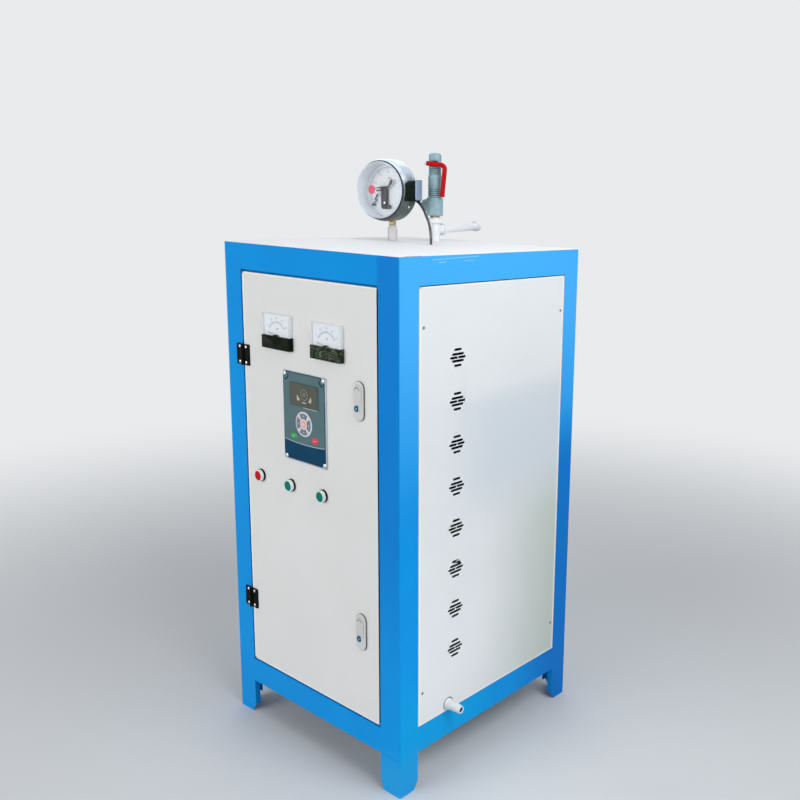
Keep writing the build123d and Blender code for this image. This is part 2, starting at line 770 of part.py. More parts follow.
# Lifting lever: a bent rod with a level arm and a hanging arm
with BuildPart() as valve_lever:
    with BuildLine(lever_plane.offset(lever_stand_off)) as lever_line:
        FilletPolyline((-lever_tip, lever_z), (lever_bend, lever_z), (lever_foot, lever_z - lever_drop),
                       radius=lever_bend_radius)
    tip = lever_line.wire() @ 0
    with BuildSketch(Plane(origin=tip, z_dir=lever_x)):
        Circle(lever_rod_radius)
    sweep()
    with BuildSketch(lever_plane):
        with Locations((-pivot_offset, lever_z)):
            Circle(pivot_radius + pivot_gap)
    extrude(amount=2 * lever_stand_off, mode=Mode.SUBTRACT)
valve_lever.part.label = "valve_lever"
export_step(valve_lever.part, "parts/valve_lever.step")

# Hinges: knuckles on the line between door and post, in front of both faces
hinge_x = -front_opening / 2 + door_gap / 2
knuckle_y = front - hinge_leaf_thickness / 2 - hinge_knuckle_radius / 2
hinge_line = (cabinet_x + hinge_x, knuckle_y)


def hinge_half(side, knuckles):
    """One leaf of each hinge, with its knuckles; side is -1 on the post, 1 on the door."""
    with BuildPart() as half:
        for level in hinge_levels:
            bottom = level - hinge_height / 2
            with BuildSketch(front_face):
                with Locations((hinge_x + side * (hinge_slot + hinge_leaf_width / 2), level)):
                    RectangleRounded(hinge_leaf_width - hinge_slot, hinge_height, hinge_leaf_corner)
            extrude(amount=hinge_leaf_thickness)
            # room for the other half's knuckles
            for start, end in knuckles["other"]:
                with BuildSketch(Plane.XY.offset(bottom + start * hinge_height - hinge_slot)):
                    with Locations(hinge_line):
                        Circle(hinge_knuckle_radius + hinge_slot)
                extrude(amount=(end - start) * hinge_height + 2 * hinge_slot, mode=Mode.SUBTRACT)
            for start, end in knuckles["own"]:
                with BuildSketch(Plane.XY.offset(bottom + start * hinge_height)):
                    with Locations(hinge_line):
                        Circle(hinge_knuckle_radius)
                extrude(amount=(end - start) * hinge_height)
        with BuildSketch(Plane.XZ.offset(-front)):
            with Locations((cabinet_x, cabinet_height / 2)):
                Rectangle(cabinet_width, cabinet_height)
        extrude(amount=-hinge_knuckle_radius * 2, mode=Mode.SUBTRACT)
        if side > 0:
            with BuildSketch(Plane.XY):
                with Locations(hinge_line):
                    Circle(hinge_pin_radius + hinge_pin_gap)
            extrude(amount=cabinet_height, mode=Mode.SUBTRACT)
        else:
            for level in hinge_levels:
                with BuildSketch(Plane.XY.offset(level - hinge_height / 2)):
                    with Locations(hinge_line):
                        Circle(hinge_pin_radius)
                extrude(amount=hinge_height)
    return half.part


ends = [(0.0, 0.28), (0.72, 1.0)]
middle = [(0.3, 0.7)]
hinge_leaves_post = hinge_half(-1, {"own": ends, "other": middle})
hinge_leaves_post.label = "hinge_leaves_post"
export_step(hinge_leaves_post, "parts/hinge_leaves_post.step")
hinge_leaves_door = hinge_half(1, {"own": middle, "other": ends})
hinge_leaves_door.label = "hinge_leaves_door"
export_step(hinge_leaves_door, "parts/hinge_leaves_door.step")

# Door leaf, with its cut-outs
door_width = front_opening - 2 * door_gap
door_height = opening_height - 2 * door_gap
door_depth = lip_depth - door_gap
cutout_gap = 0.5
with BuildPart() as door_leaf:
    add(pan(front_face, door_width, door_height, door_depth, door_sheet, door_bend))
    with BuildSketch(front_face):
        with Locations(*meter_points):
            Circle(meter_body_radius + cutout_gap)
        with Locations((controller_x, controller_z)):
            Rectangle(controller_box_width + 2 * cutout_gap, controller_box_height + 2 * cutout_gap)
        with Locations(*button_points):
            Circle(button_barrel_radius + cutout_gap)
        with Locations(*[(lock_x, z) for z in lock_levels]):
            Rectangle(lock_body_width + 2 * cutout_gap, lock_body_height + 2 * cutout_gap)
    extrude(amount=-2 * door_sheet, mode=Mode.SUBTRACT)
door_leaf.part.label = "door_leaf"
export_step(door_leaf.part, "parts/door_leaf.step")

# Meters: a round body behind the door, a dial block in front, and a clear cover over it
for meter_name, place in zip(("meter_left", "meter_right"), meter_points):
    with BuildPart() as meter:
        with BuildSketch(front_face):
            with Locations(place):
                inset = 2 * (meter_wall + meter_fit)
                RectangleRounded(meter_width - inset, meter_height - inset, meter_corner - meter_edge)
        extrude(amount=meter_dial_height)
        with BuildSketch(front_face):
            with Locations(place):
                Circle(meter_body_radius)
        extrude(amount=-meter_body_depth)
    meter.part.label = meter_name
    export_step(meter.part, f"parts/{meter_name}.step")

with BuildPart() as meter_covers:
    with BuildSketch(front_face):
        with Locations(*meter_points):
            RectangleRounded(meter_width, meter_height, meter_corner)
    extrude(amount=meter_depth)
    chamfer(meter_covers.faces().group_by(Axis.Y)[0].edges(), meter_edge)
    with BuildSketch(front_face):
        with Locations(*meter_points):
            RectangleRounded(meter_width - 2 * meter_wall, meter_height - 2 * meter_wall,
                             meter_corner - meter_edge)
    extrude(amount=meter_depth - meter_wall, mode=Mode.SUBTRACT)
meter_covers.part.label = "meter_covers"
export_step(meter_covers.part, "parts/meter_covers.step")

# Controller: a plate with a sunk screen and raised keys, and a box behind the door
with BuildPart() as controller:
    with BuildSketch(front_face):
        with Locations((controller_x, controller_z)):
            RectangleRounded(controller_width, controller_height, controller_corner)
    extrude(amount=controller_plate)
    with BuildSketch(front_face.offset(controller_plate)):
        with Locations((controller_x, controller_z + screen_offset_z)):
            RectangleRounded(screen_width, screen_height, screen_corner)
    extrude(amount=-screen_recess, mode=Mode.SUBTRACT)
    with BuildSketch(front_face.offset(controller_plate)):
        with Locations((controller_x, controller_z + keypad_offset_z)):
            Circle(keypad_radius)
        with Locations((controller_x - key_offset_x, controller_z + key_offset_z),
                       (controller_x + key_offset_x, controller_z + key_offset_z)):
            Circle(key_radius)
    extrude(amount=key_rise)
controller.part.label = "controller"
export_step(controller.part, "parts/controller.step")

with BuildPart() as controller_box:
    with BuildSketch(front_face):
        with Locations((controller_x, controller_z)):
            RectangleRounded(controller_box_width, controller_box_height, controller_corner)
    extrude(amount=-controller_box_depth)
controller_box.part.label = "controller_box"
export_step(controller_box.part, "parts/controller_box.step")

# Push buttons: body through the door, bezel, and a cap that slides in
button_seat = button_cap_rear - button_travel - button_fit
with BuildPart() as button_bodies:
    with BuildSketch(front_face):
        with Locations(*button_points):
            Circle(button_flange_radius)
            Circle(button_cap_radius + button_fit, mode=Mode.SUBTRACT)
    extrude(amount=button_flange)
    with BuildSketch(front_face.offset(button_seat)):
        with Locations(*button_points):
            Circle(button_cap_radius + 2 * button_fit)
    extrude(amount=-button_floor)
    with BuildSketch(front_face.offset(button_seat)):
        with Locations(*button_points):
            Circle(button_barrel_radius)
    extrude(amount=-button_barrel_depth - button_seat)
    with BuildSketch(front_face.offset(-button_barrel_depth)):
        with Locations(*button_points):
            Rectangle(button_block, button_block)
    extrude(amount=button_barrel_depth - button_block_depth)
    with BuildSketch(front_face.offset(button_flange)):
        with Locations(*button_points):
            Circle(button_stem_radius + button_fit)
    extrude(amount=-button_flange - button_stem_length - button_travel - button_fit, mode=Mode.SUBTRACT)
button_bodies.part.label = "button_bodies"
export_step(button_bodies.part, "parts/button_bodies.step")

with BuildPart() as button_bezels:
    with BuildSketch(front_face.offset(button_flange)):
        with Locations(*button_points):
            Circle(button_bezel_radius)
            Circle(button_cap_radius + button_fit, mode=Mode.SUBTRACT)
    extrude(amount=button_bezel_front - button_flange)
button_bezels.part.label = "button_bezels"
export_step(button_bezels.part, "parts/button_bezels.step")

for cap_name, place in zip(("button_red", "button_green_left", "button_green_right"), button_points):
    with BuildPart() as button_cap:
        with BuildSketch(front_face.offset(button_cap_rear)):
            with Locations(place):
                Circle(button_cap_radius)
        extrude(amount=button_cap_front - button_cap_rear)
        chamfer(button_cap.edges().group_by(Axis.Y)[0], button_cap_edge)
        with BuildSketch(front_face.offset(-button_stem_length)):
            with Locations(place):
                Circle(button_stem_radius)
        extrude(amount=button_stem_length + button_cap_rear)
    button_cap.part.label = cap_name
    export_step(button_cap.part, f"parts/{cap_name}.step")

# Locks: a long round-ended plate with a pocket, a body behind the door, and a hinged handle
pocket_height = pocket_high - pocket_low
pocket_middle = (pocket_high + pocket_low) / 2
handle_front = lock_plate + handle_rise
pin_front = handle_front - handle_thickness / 2
for level, part_word in zip(lock_levels, ("lower", "upper")):
    lock_place = (lock_x, level)
    pocket_place = (lock_x, level + pocket_middle)
    # the lower end of the pocket and of the handle is square
    square_place = (lock_x, level + pocket_low + pocket_width / 4)
    pin_z = level + pocket_low + handle_fit + handle_pin_height
    pin_plane = Plane(origin=(cabinet_x + lock_x, front - pin_front, pin_z), x_dir=(0, 1, 0), z_dir=(1, 0, 0))
    with BuildPart() as lock:
        with BuildSketch(front_face):
            with Locations(lock_place):
                SlotOverall(lock_height, lock_width, rotation=90)
        extrude(amount=lock_plate)
        chamfer(lock.faces().sort_by(Axis.Y)[0].edges(), lock_edge)
        with BuildSketch(front_face):
            with Locations(lock_place):
                Rectangle(lock_body_width, lock_body_height)
        extrude(amount=-lock_body_depth)
        with BuildSketch(front_face.offset(-lock_body_depth)):
            with Locations((lock_x, level - cam_length / 2 + cam_width / 2)):
                SlotOverall(cam_length, cam_width, rotation=90)
        extrude(amount=-cam_sheet)
        with BuildSketch(front_face.offset(lock_plate)):
            with Locations(pocket_place):
                SlotOverall(pocket_height, pocket_width, rotation=90)
            with Locations(square_place):
                Rectangle(pocket_width, pocket_width / 2)
        extrude(amount=-lock_plate - pocket_floor, mode=Mode.SUBTRACT)
        with BuildSketch(front_face.offset(lock_plate)):
            with Locations((lock_x, level - release_drop)):
                Circle(release_radius)
        extrude(amount=release_rise)
        with BuildSketch(pin_plane):
            Circle(handle_pin_radius)
        extrude(amount=pocket_width / 2 + handle_fit, both=True)
    lock.part.label = f"lock_{part_word}"
    export_step(lock.part, f"parts/lock_{part_word}.step")

    with BuildPart() as handle:
        with BuildSketch(front_face.offset(handle_front - handle_thickness)):
            with Locations(pocket_place):
                SlotOverall(pocket_height - 2 * handle_fit, pocket_width - 2 * handle_fit, rotation=90)
            with Locations(square_place):
                Rectangle(pocket_width - 2 * handle_fit, pocket_width / 2 - 2 * handle_fit)
        extrude(amount=handle_thickness)
        with BuildSketch(pin_plane):
            Circle(handle_pin_radius + handle_pin_gap)
        extrude(amount=pocket_width, both=True, mode=Mode.SUBTRACT)
    handle.part.label = f"lock_handle_{part_word}"
    export_step(handle.part, f"parts/lock_handle_{part_word}.step")
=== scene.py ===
# %% [markdown]
# # An electric steam boiler in its cabinet
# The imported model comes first. It holds every sheet, pipe and device at its real place, in metres,
# so nothing is fitted by eye: new pieces are put where the model says the real ones are.

from math import atan2, cos, degrees, pi, radians, sin

import bmesh
import bpy
from mathutils import Matrix, Vector


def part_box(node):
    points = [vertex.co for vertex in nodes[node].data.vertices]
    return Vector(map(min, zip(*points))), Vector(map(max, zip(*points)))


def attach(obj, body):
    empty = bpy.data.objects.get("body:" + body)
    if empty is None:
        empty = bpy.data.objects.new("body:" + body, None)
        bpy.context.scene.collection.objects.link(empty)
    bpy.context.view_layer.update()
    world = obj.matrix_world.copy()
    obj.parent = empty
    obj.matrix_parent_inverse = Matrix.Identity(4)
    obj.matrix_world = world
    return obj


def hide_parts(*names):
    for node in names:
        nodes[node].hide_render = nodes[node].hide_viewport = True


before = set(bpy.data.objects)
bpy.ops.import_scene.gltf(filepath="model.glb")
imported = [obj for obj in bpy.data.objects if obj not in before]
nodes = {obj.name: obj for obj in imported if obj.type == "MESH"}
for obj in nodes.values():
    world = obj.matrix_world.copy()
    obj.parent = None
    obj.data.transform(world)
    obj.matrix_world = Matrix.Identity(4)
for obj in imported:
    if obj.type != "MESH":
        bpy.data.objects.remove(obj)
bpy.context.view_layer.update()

# %% [markdown]
# Sizes below are in millimetres from the middle of the cabinet's floor area, as a fitter would
# measure them. The top plate gives that middle, because the blow-down pipe and the steam outlet
# push the origin of the whole part to one side. A piece that lies on a face takes that face's two
# axes: its own x direction, then the direction outwards.

# %% Places on the cabinet
MM = 0.001
half_side = 300.0  # from the cabinet's middle to the outer face of each side
front_y = -half_side
plate_low, plate_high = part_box("top_plate")
middle_x = (plate_low.x + plate_high.x) / 2
middle_y = (plate_low.y + plate_high.y) / 2


def at(x, y, z):
    """A point of the cabinet, given in millimetres from the middle of its floor area."""
    return Vector((middle_x + x * MM, middle_y + y * MM, z * MM))


FRONT = (Vector((1, 0, 0)), Vector((0, -1, 0)))
RIGHT = (Vector((0, 1, 0)), Vector((1, 0, 0)))
LEFT = (Vector((0, -1, 0)), Vector((-1, 0, 0)))
UP = (Vector((1, 0, 0)), Vector((0, 0, 1)))
front_face = (at(0, front_y, 0), FRONT)
right_face = (at(half_side, 0, 0), RIGHT)
left_face = (at(-half_side, 0, 0), LEFT)
print("cabinet middle", round(middle_x, 4), round(middle_y, 4))

# %% [markdown]
# The camera stands where the photographer stood. Its place, direction and focal length were worked
# out from the cabinet's straight edges, whose sizes are known, so the picture's vanishing points
# and the model's agree. The shift stands for the crop: the picture's middle isn't the lens's axis.

# %% Camera
camera_data = bpy.data.cameras.new("camera")
camera = bpy.data.objects.new("camera", camera_data)
bpy.context.scene.collection.objects.link(camera)
bpy.context.scene.camera = camera
view_right = Vector((0.7858696, 0.6176836, 0.0295976))
view_up = Vector((-0.1443503, 0.1366940, 0.9800397))
view_back = Vector((0.6013086, -0.7744558, 0.1965865))
view_turn = Matrix((view_right, view_up, view_back)).transposed().to_4x4()
camera.matrix_world = Matrix.Translation(at(1645.012, -1547.653, 1325.788)) @ view_turn
sensor_mm = 36.0
focal_px, axis_px, axis_py, frame_px = 914.7, 546.4, 379.4, 800.0
camera_data.sensor_width = sensor_mm
camera_data.lens = sensor_mm * focal_px / frame_px
camera_data.shift_x = (frame_px / 2 - axis_px) / frame_px
camera_data.shift_y = (axis_py - frame_px / 2) / frame_px
camera_data.clip_start, camera_data.clip_end = 0.05, 100.0
print("lens", round(camera_data.lens, 2), "mm, shift", round(camera_data.shift_x, 4),
      round(camera_data.shift_y, 4))

# %% [markdown]
# Every piece below is made with the same few moves, so they are written once: clear the selection
# (the loaded nodes come in selected), pick faces or edges by a test on their place, round them, and
# close the skin with its faces outwards. Widths and distances are given in millimetres.

# %% Moves used by every piece
mesh_ops = bpy.ops.mesh


def clear():
    if bpy.context.object and bpy.context.object.mode != "OBJECT":
        bpy.ops.object.mode_set(mode="OBJECT")
    bpy.ops.object.select_all(action="DESELECT")
    bpy.context.tool_settings.mesh_select_mode = (True, False, False)


def edit(test_faces=None, test_edges=None):
    """Goes to edit mode with only the faces or edges selected for which the test is true."""
    piece = bpy.context.object
    bpy.ops.object.mode_set(mode="EDIT")
    mesh_ops.select_all(action="DESELECT")
    mesh_ops.select_mode(type="FACE" if test_faces else "EDGE")
    work = bmesh.from_edit_mesh(piece.data)
    work.normal_update()
    for item in work.faces if test_faces else work.edges:
        item.select_set(bool((test_faces or test_edges)(item)))
    work.select_flush_mode()
    bmesh.update_edit_mesh(piece.data)


def leave():
    bpy.ops.object.mode_set(mode="OBJECT")


def edit_all():
    """Goes to edit mode with everything selected."""
    bpy.ops.object.mode_set(mode="EDIT")
    mesh_ops.select_all(action="SELECT")


def close_skin(join_within=None):
    """Merges doubles if asked, turns every face outwards and leaves edit mode."""
    mesh_ops.select_all(action="SELECT")
    if join_within:
        mesh_ops.remove_doubles(threshold=join_within)
    mesh_ops.normals_make_consistent(inside=False)
    leave()


def extrude(x, y, z):
    mesh_ops.extrude_region_move(TRANSFORM_OT_translate={"value": (x * MM, y * MM, z * MM)})


def round_edges(test_edges, width, steps, clamp=False):
    edit(test_edges=test_edges)
    mesh_ops.bevel(offset=width * MM, segments=steps, affect="EDGES", clamp_overlap=clamp)
    leave()


def round_rim(test_faces, width, steps):
    """Rounds the outer edges of the faces for which the test is true."""
    edit(test_faces=test_faces)
    mesh_ops.region_to_loop()
    mesh_ops.bevel(offset=width * MM, segments=steps, affect="EDGES")
    leave()


def take_off(test_faces):
    edit(test_faces=test_faces)
    mesh_ops.delete(type="FACE")
    leave()


print("moves in edit mode ready")

# %% [markdown]
# The rest of the moves work on whole objects. A finished mesh is turned so that its object sits at
# the origin, as the loaded nodes do.

# %% Moves on whole pieces
def settled():
    """The object just made, with its place, turn and scale moved into its mesh."""
    bpy.ops.object.transform_apply(location=True, rotation=True, scale=True)
    return bpy.context.object


def block(size, middle=(0, 0, 0)):
    clear()
    mesh_ops.primitive_cube_add(size=1, location=[v * MM for v in middle], scale=[v * MM for v in size])
    return settled()


def modified(piece, kind, **settings):
    """Gives a piece a modifier with its settings and applies it."""
    bpy.context.view_layer.objects.active = piece
    change = piece.modifiers.new(kind, kind)
    for key, value in settings.items():
        setattr(change, key, value)
    bpy.ops.object.modifier_apply(modifier=change.name)


def cut_out(piece, cutter):
    """Takes the cutter's shape out of the piece, then removes the cutter."""
    modified(piece, "BOOLEAN", operation="DIFFERENCE", object=cutter, solver="EXACT")
    bpy.data.objects.remove(cutter)


def stand(piece, origin, x_dir, z_dir):
    """Puts a piece made round the world's origin onto its own axes."""
    z_dir = z_dir.normalized()
    x_dir = (x_dir - z_dir * x_dir.dot(z_dir)).normalized()
    turned = Matrix((x_dir, z_dir.cross(x_dir), z_dir)).transposed().to_4x4()
    piece.matrix_world = Matrix.Translation(origin) @ turned


def finish(piece, name, body, material, smooth=30.0):
    """Names the piece, applies its place, gives it a body, a finish and smooth shading."""
    clear()
    bpy.context.view_layer.objects.active = piece
    piece.select_set(True)
    settled()
    if smooth:
        bpy.ops.object.shade_smooth_by_angle(angle=radians(smooth))
    piece.name = piece.data.name = name
    piece.data.materials.clear()
    piece.data.materials.append(material)
    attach(piece, body)
    return piece


print("moves on whole pieces ready")

# %% [markdown]
# A finish is built from nodes. Colours are written as the hex values a colour picker shows on a
# screen, and one function turns them into the linear values that the renderer adds up. One small
# function adds any node with its settings and links.

# %% Helpers for the finishes
finish_slots = {}


def colour(text):
    """The linear red, green and blue of an sRGB hex value, with full alpha."""
    parts = [int(text[i : i + 2], 16) / 255 for i in (1, 3, 5)]
    return [v / 12.92 if v <= 0.04045 else ((v + 0.055) / 1.055) ** 2.4 for v in parts] + [1.0]


def plug(node, **inputs):
    """Gives a node's sockets, named or numbered (i0, i1), a value or another node's output."""
    for key, value in inputs.items():
        numbered = key[0] == "i" and key[1:].isdigit()
        socket = node.inputs[int(key[1:]) if numbered else key.replace("_", " ")]
        if isinstance(value, bpy.types.NodeSocket):
            node.id_data.links.new(value, socket)
        else:
            socket.default_value = value


def add(material, kind, settings=None, stops=(), **inputs):
    """Adds a node. settings are its own properties, stops the (position, hex colour) marks of a
    ramp, and inputs its sockets."""
    new = material.node_tree.nodes.new("ShaderNode" + kind)
    for key, value in (settings or {}).items():
        setattr(new, key, value)
    for _ in stops[2:]:
        new.color_ramp.elements.new(0.5)
    for element, (place, text) in zip(new.color_ramp.elements if stops else (), stops):
        element.position = place
        element.color = colour(text)
    plug(new, **inputs)
    return new


def part_of(material, kind):
    """The first node of that kind in a finish."""
    return next(n for n in material.node_tree.nodes if n.bl_idname == "ShaderNode" + kind)


print("blue of the frame, linear:", [round(v, 3) for v in colour("#0091E3")])

# %% [markdown]
# No real surface is one flat colour. Each finish drifts slowly between two tones, is glossier in
# some places than in others, and may have a fine grain in relief. The widths of drift and grain are
# real sizes. Black and deep-coloured finishes get a lower IOR, since full glare would grey them.

# %% Recipe of a finish
deep_ior = 1.25


def surface(name, slot, base, roughness, metallic=0.0, tint=None, cloud_mm=60.0, grain_mm=2.0,
            grain_depth=0.0, gloss_range=0.06, specular=0.5, ior=None):
    """A finish with a slow drift between base and tint, an uneven gloss and a fine grain in relief.
    slot is the part's own name for the finish that it stands for."""
    material = bpy.data.materials.new(name)
    finish_slots[name] = slot
    material.use_nodes = True
    shader = part_of(material, "BsdfPrincipled")
    where = add(material, "TexCoord").outputs["Object"]
    clouds = add(material, "TexNoise", Vector=where, Scale=1 / (cloud_mm * MM), Detail=3.0,
                 Roughness=0.6).outputs["Fac"]
    gloss = add(material, "MapRange", i0=clouds, i1=0.3, i2=0.7, i3=roughness - gloss_range,
                i4=roughness + gloss_range).outputs[0]
    plug(shader, Base_Color=colour(base), Metallic=metallic, Roughness=gloss,
         Specular_IOR_Level=specular)
    if tint:
        tones = add(material, "ValToRGB", stops=[(0.3, base), (0.72, tint)], i0=clouds)
        plug(shader, Base_Color=tones.outputs["Color"])
    if grain_depth:
        grain = add(material, "TexNoise", Vector=where, Scale=1 / (grain_mm * MM), Detail=2.0)
        relief = add(material, "Bump", Height=grain.outputs["Fac"], Strength=1.0,
                     Distance=grain_depth * MM)
        plug(shader, Normal=relief.outputs["Normal"])
    if ior:
        plug(shader, IOR=ior)
    return material


print("finish recipe ready")

# %% [markdown]
# The contact gauge has one black rubber cable. It leaves the gland under the terminal box, sags
# towards the back and goes into the top plate. A cable keeps its length and can't bend sharply, so
# it starts as a smooth spline through a few points of the model's route. A round bevel is its skin,
# and the tube then becomes a mesh, while the bare spline is kept as the path that it follows.

# %% Gauge cable
gland_end = (-71.65, 116.86, 1296.75)
cable_route = [gland_end, (-52, 112, 1282), (-32, 98, 1271), (-10, 82, 1263), (9, 69.6, 1252),
               (22, 61.5, 1236), (27, 58.9, 1217), (27, 58.9, 1200)]
cable_radius = 3.25
cable_curve = bpy.data.curves.new("gauge_cable_rubber", "CURVE")
cable_curve.dimensions = "3D"
line = cable_curve.splines.new("NURBS")
line.points.add(len(cable_route) - 1)
for knot, place in zip(line.points, cable_route):
    knot.co = (*at(*place), 1.0)
line.order_u = 3
line.use_endpoint_u = True
line.resolution_u = 16
cable = bpy.data.objects.new("gauge_cable_rubber", cable_curve)
bpy.context.scene.collection.objects.link(cable)
bare_line = cable.evaluated_get(bpy.context.evaluated_depsgraph_get()).to_mesh()
centre_line = [v.co.copy() for v in bare_line.vertices]
cable_curve.bevel_depth = cable_radius * MM
cable_curve.bevel_resolution = 6
cable_curve.use_fill_caps = True
clear()
cable.select_set(True)
bpy.context.view_layer.objects.active = cable
bpy.ops.object.convert(target="MESH")
cable = bpy.context.object
edit_all()
close_skin(1e-6)
bpy.ops.object.shade_smooth_by_angle(angle=radians(40))
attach(cable, "cabinet")
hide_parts("gauge_cable")
run = sum((b - a).length for a, b in zip(centre_line, centre_line[1:]))
print("cable through", len(cable_route), "points, length", round(run, 4), "m")

# %% [markdown]
# A product photograph on a pale sweep: the floor takes the shadow, and further out it fades to the
# colour of the background, so no horizon shows. The fade and the bright background are only seen by
# the camera and by shiny parts. They don't light the object, which the lamps do at a plain level.

# %% Floor
sweep_hex = "#E9EBED"
fade_start, fade_end = 0.9, 3.4  # metres from the cabinet


def seen_directly(material):
    """1 for rays from the camera, off gloss or through clear things, 0 for those that carry light."""
    rays = add(material, "LightPath").outputs
    seen = rays["Is Camera Ray"]
    for kind in ("Is Glossy Ray", "Is Transmission Ray"):
        seen = add(material, "Math", {"operation": "MAXIMUM"}, i0=seen, i1=rays[kind]).outputs[0]
    return seen


clear()
mesh_ops.primitive_plane_add(size=40, location=(middle_x, middle_y, 0))
floor = settled()
floor.name = floor.data.name = "studio_floor"
studio = bpy.data.materials.new("studio_floor_matt_paint")
studio.use_nodes = True
matt = part_of(studio, "BsdfPrincipled")
plug(matt, Base_Color=colour("#D3D6D9"), Roughness=0.85)
spot = add(studio, "TexCoord").outputs["Object"]
away = add(studio, "VectorMath", {"operation": "DISTANCE"}, i0=spot, i1=at(0, 0, 0)).outputs["Value"]
fade = add(studio, "MapRange", {"interpolation_type": "SMOOTHSTEP"}, i0=away, i1=fade_start,
           i2=fade_end, i3=0.0, i4=1.0).outputs[0]
faded = add(studio, "Math", {"operation": "MULTIPLY"}, i0=fade, i1=seen_directly(studio))
glow = add(studio, "Emission", Color=colour(sweep_hex), Strength=1.0)
blend = add(studio, "MixShader", i0=faded.outputs[0], i1=matt.outputs[0], i2=glow.outputs[0])
plug(part_of(studio, "OutputMaterial"), Surface=blend.outputs[0])
floor.data.materials.append(studio)
print("floor fades from", fade_start, "to", fade_end, "m")

# %% [markdown]
# The room gives a weak, even, slightly cool light, and is seen as the pale sweep.

# %% World
world = bpy.data.worlds.new("studio")
bpy.context.scene.world = world
world.use_nodes = True
ambient = part_of(world, "Background")
plug(ambient, Color=colour("#F4F7FC"), Strength=0.32)
shown = add(world, "Background", Color=colour(sweep_hex), Strength=1.0)
blend = add(world, "MixShader", i0=seen_directly(world), i1=ambient.outputs[0], i2=shown.outputs[0])
plug(part_of(world, "OutputWorld"), Surface=blend.outputs[0])
print("ambient light", round(ambient.inputs["Strength"].default_value, 2))

# %% [markdown]
# The main lamp is a large soft box high on the right, as beside a window. A smaller one brightens
# the right side's upper half, a narrow one the lowest part of the front corner, and a broad weak one
# in front keeps the door legible. The last two lift the top plate and the far side a little.

# %% Lamps
def soft_lamp(name, place, target, width, level, hex_text):
    """A square soft box. level is the share of plain daylight that it gives at the target."""
    data = bpy.data.lights.new(name, "AREA")
    data.shape = "SQUARE"
    data.size = width
    data.color = colour(hex_text)[:3]
    reach = target - place
    data.energy = level * pi * pi * reach.length_squared
    lamp = bpy.data.objects.new(name, data)
    bpy.context.scene.collection.objects.link(lamp)
    lamp.visible_camera = False
    lamp.matrix_world = Matrix.Translation(place) @ reach.to_track_quat("-Z", "Y").to_matrix().to_4x4()
    print(name, round(data.energy), "W")


cabinet_heart = at(0, 0, 750)
right_upper = at(half_side, 0, 1150)
soft_lamp("key_right", at(1850, -260, 2350), right_upper, 1.6, 0.8, "#FFFFFE")
soft_lamp("corner_glow", at(1400, 60, 1480), right_upper, 0.9, 0.2, "#F2F8FF")
soft_lamp("low_right", at(740, -280, 320), at(half_side, -270, 320), 0.25, 0.21, "#FAFFFC")
soft_lamp("top_soft", at(-100, 250, 3700), at(0, 0, 1200), 2.4, 0.21, "#F6F9FF")
soft_lamp("fill_front", at(-900, -3900, 1700), cabinet_heart, 2.6, 0.44, "#FFFDF9")
soft_lamp("left_back", at(-2900, 2600, 3300), cabinet_heart, 3.4, 0.13, "#FFFFFF")

# %% [markdown]
# The cabinet's sheets are powder coated: a dry powder is baked to a skin with a soft orange peel
# about 2 mm wide. Every finish is named for the real one, and a comment says what the eye gets from
# it. Only the finishes that new pieces wear have a variable; the others go onto the loaded nodes.

# %% Finishes of the sheet metal
# deep satin blue with hardly any glare on it
blue_coat = surface("powder_coat_blue_satin", "frame_blue", "#0091E3", 0.42, tint="#029AEB", cloud_mm=240,
                    grain_mm=2.2, grain_depth=0.03, specular=0.09)
# even white with a soft sheen
white_coat = surface("powder_coat_white_satin", "panel_white", "#E4E7EA", 0.45, tint="#EAECEE",
                     cloud_mm=300, grain_mm=2.2, grain_depth=0.03)
# dulled by dust to a matt skin; its base is lighter than the panels' white, as painted light on the
# flat top, so it reads as plain bright white
top_coat = surface("powder_coat_white_top_sheet", "panel_white", "#F3F5F7", 0.6, tint="#F7F8F9",
                   cloud_mm=300, grain_mm=2.2, grain_depth=0.03, specular=0.1, ior=deep_ior)
# a drier, finer texture that looks a touch greyer than the panels
grey_coat = surface("powder_coat_pale_grey_fine_texture", "door_grey", "#E2E3E2", 0.5, tint="#E6E6E6",
                    cloud_mm=260, grain_mm=1.6, grain_depth=0.04)
# zinc crystals that catch the light patch by patch
surface("galvanised_sheet_spangled", "floor_sheet", "#A9AFB4", 0.42, 0.9, tint="#C4C9CD", cloud_mm=18,
        gloss_range=0.1)
# bright and a little cloudy
surface("aluminium_jacket_sheet_rolled", "jacket", "#C3C6C8", 0.36, 0.95, tint="#D2D4D6", cloud_mm=40)
print("sheet metal finishes:", blue_coat.name, white_coat.name, grey_coat.name)

# %% [markdown]
# The coats carry painted light and shade, each a smooth slope along the cabinet's axes. On the side
# towards the window the blue is painted lighter at the top and deeper low down at the back, the front
# corner's face is painted deeper higher up, and towards the floor the front of the post is painted
# lighter and more cyan. On the white panel, painted shade makes it grey-green low down at the back
# and a little darker and bluer in a band halfway up.

# %% Painted light and shade on the coats
def drifted(material, hex_text, *slopes):
    """Lets a coat drift to another tone where every slope is up. A slope is an axis name and the two
    heights, in millimetres from the middle of the cabinet's floor, between which it goes from 0 to 1."""
    shader = part_of(material, "BsdfPrincipled")
    before = shader.inputs["Base Color"].links[0].from_socket
    place = add(material, "SeparateXYZ", i0=add(material, "TexCoord").outputs["Object"])
    share = 1.0
    for axis, low, high in slopes:
        start = {"X": middle_x, "Y": middle_y, "Z": 0.0}[axis]
        step = add(material, "MapRange", {"interpolation_type": "SMOOTHSTEP"}, i0=place.outputs[axis],
                   i1=start + low * MM, i2=start + high * MM, i3=0.0, i4=1.0)
        share = add(material, "Math", {"operation": "MULTIPLY"}, i0=step.outputs[0], i1=share).outputs[0]
    tone = add(material, "Mix", {"data_type": "RGBA"}, i0=share, i6=before, i7=colour(hex_text))
    plug(shader, Base_Color=tone.outputs[2])


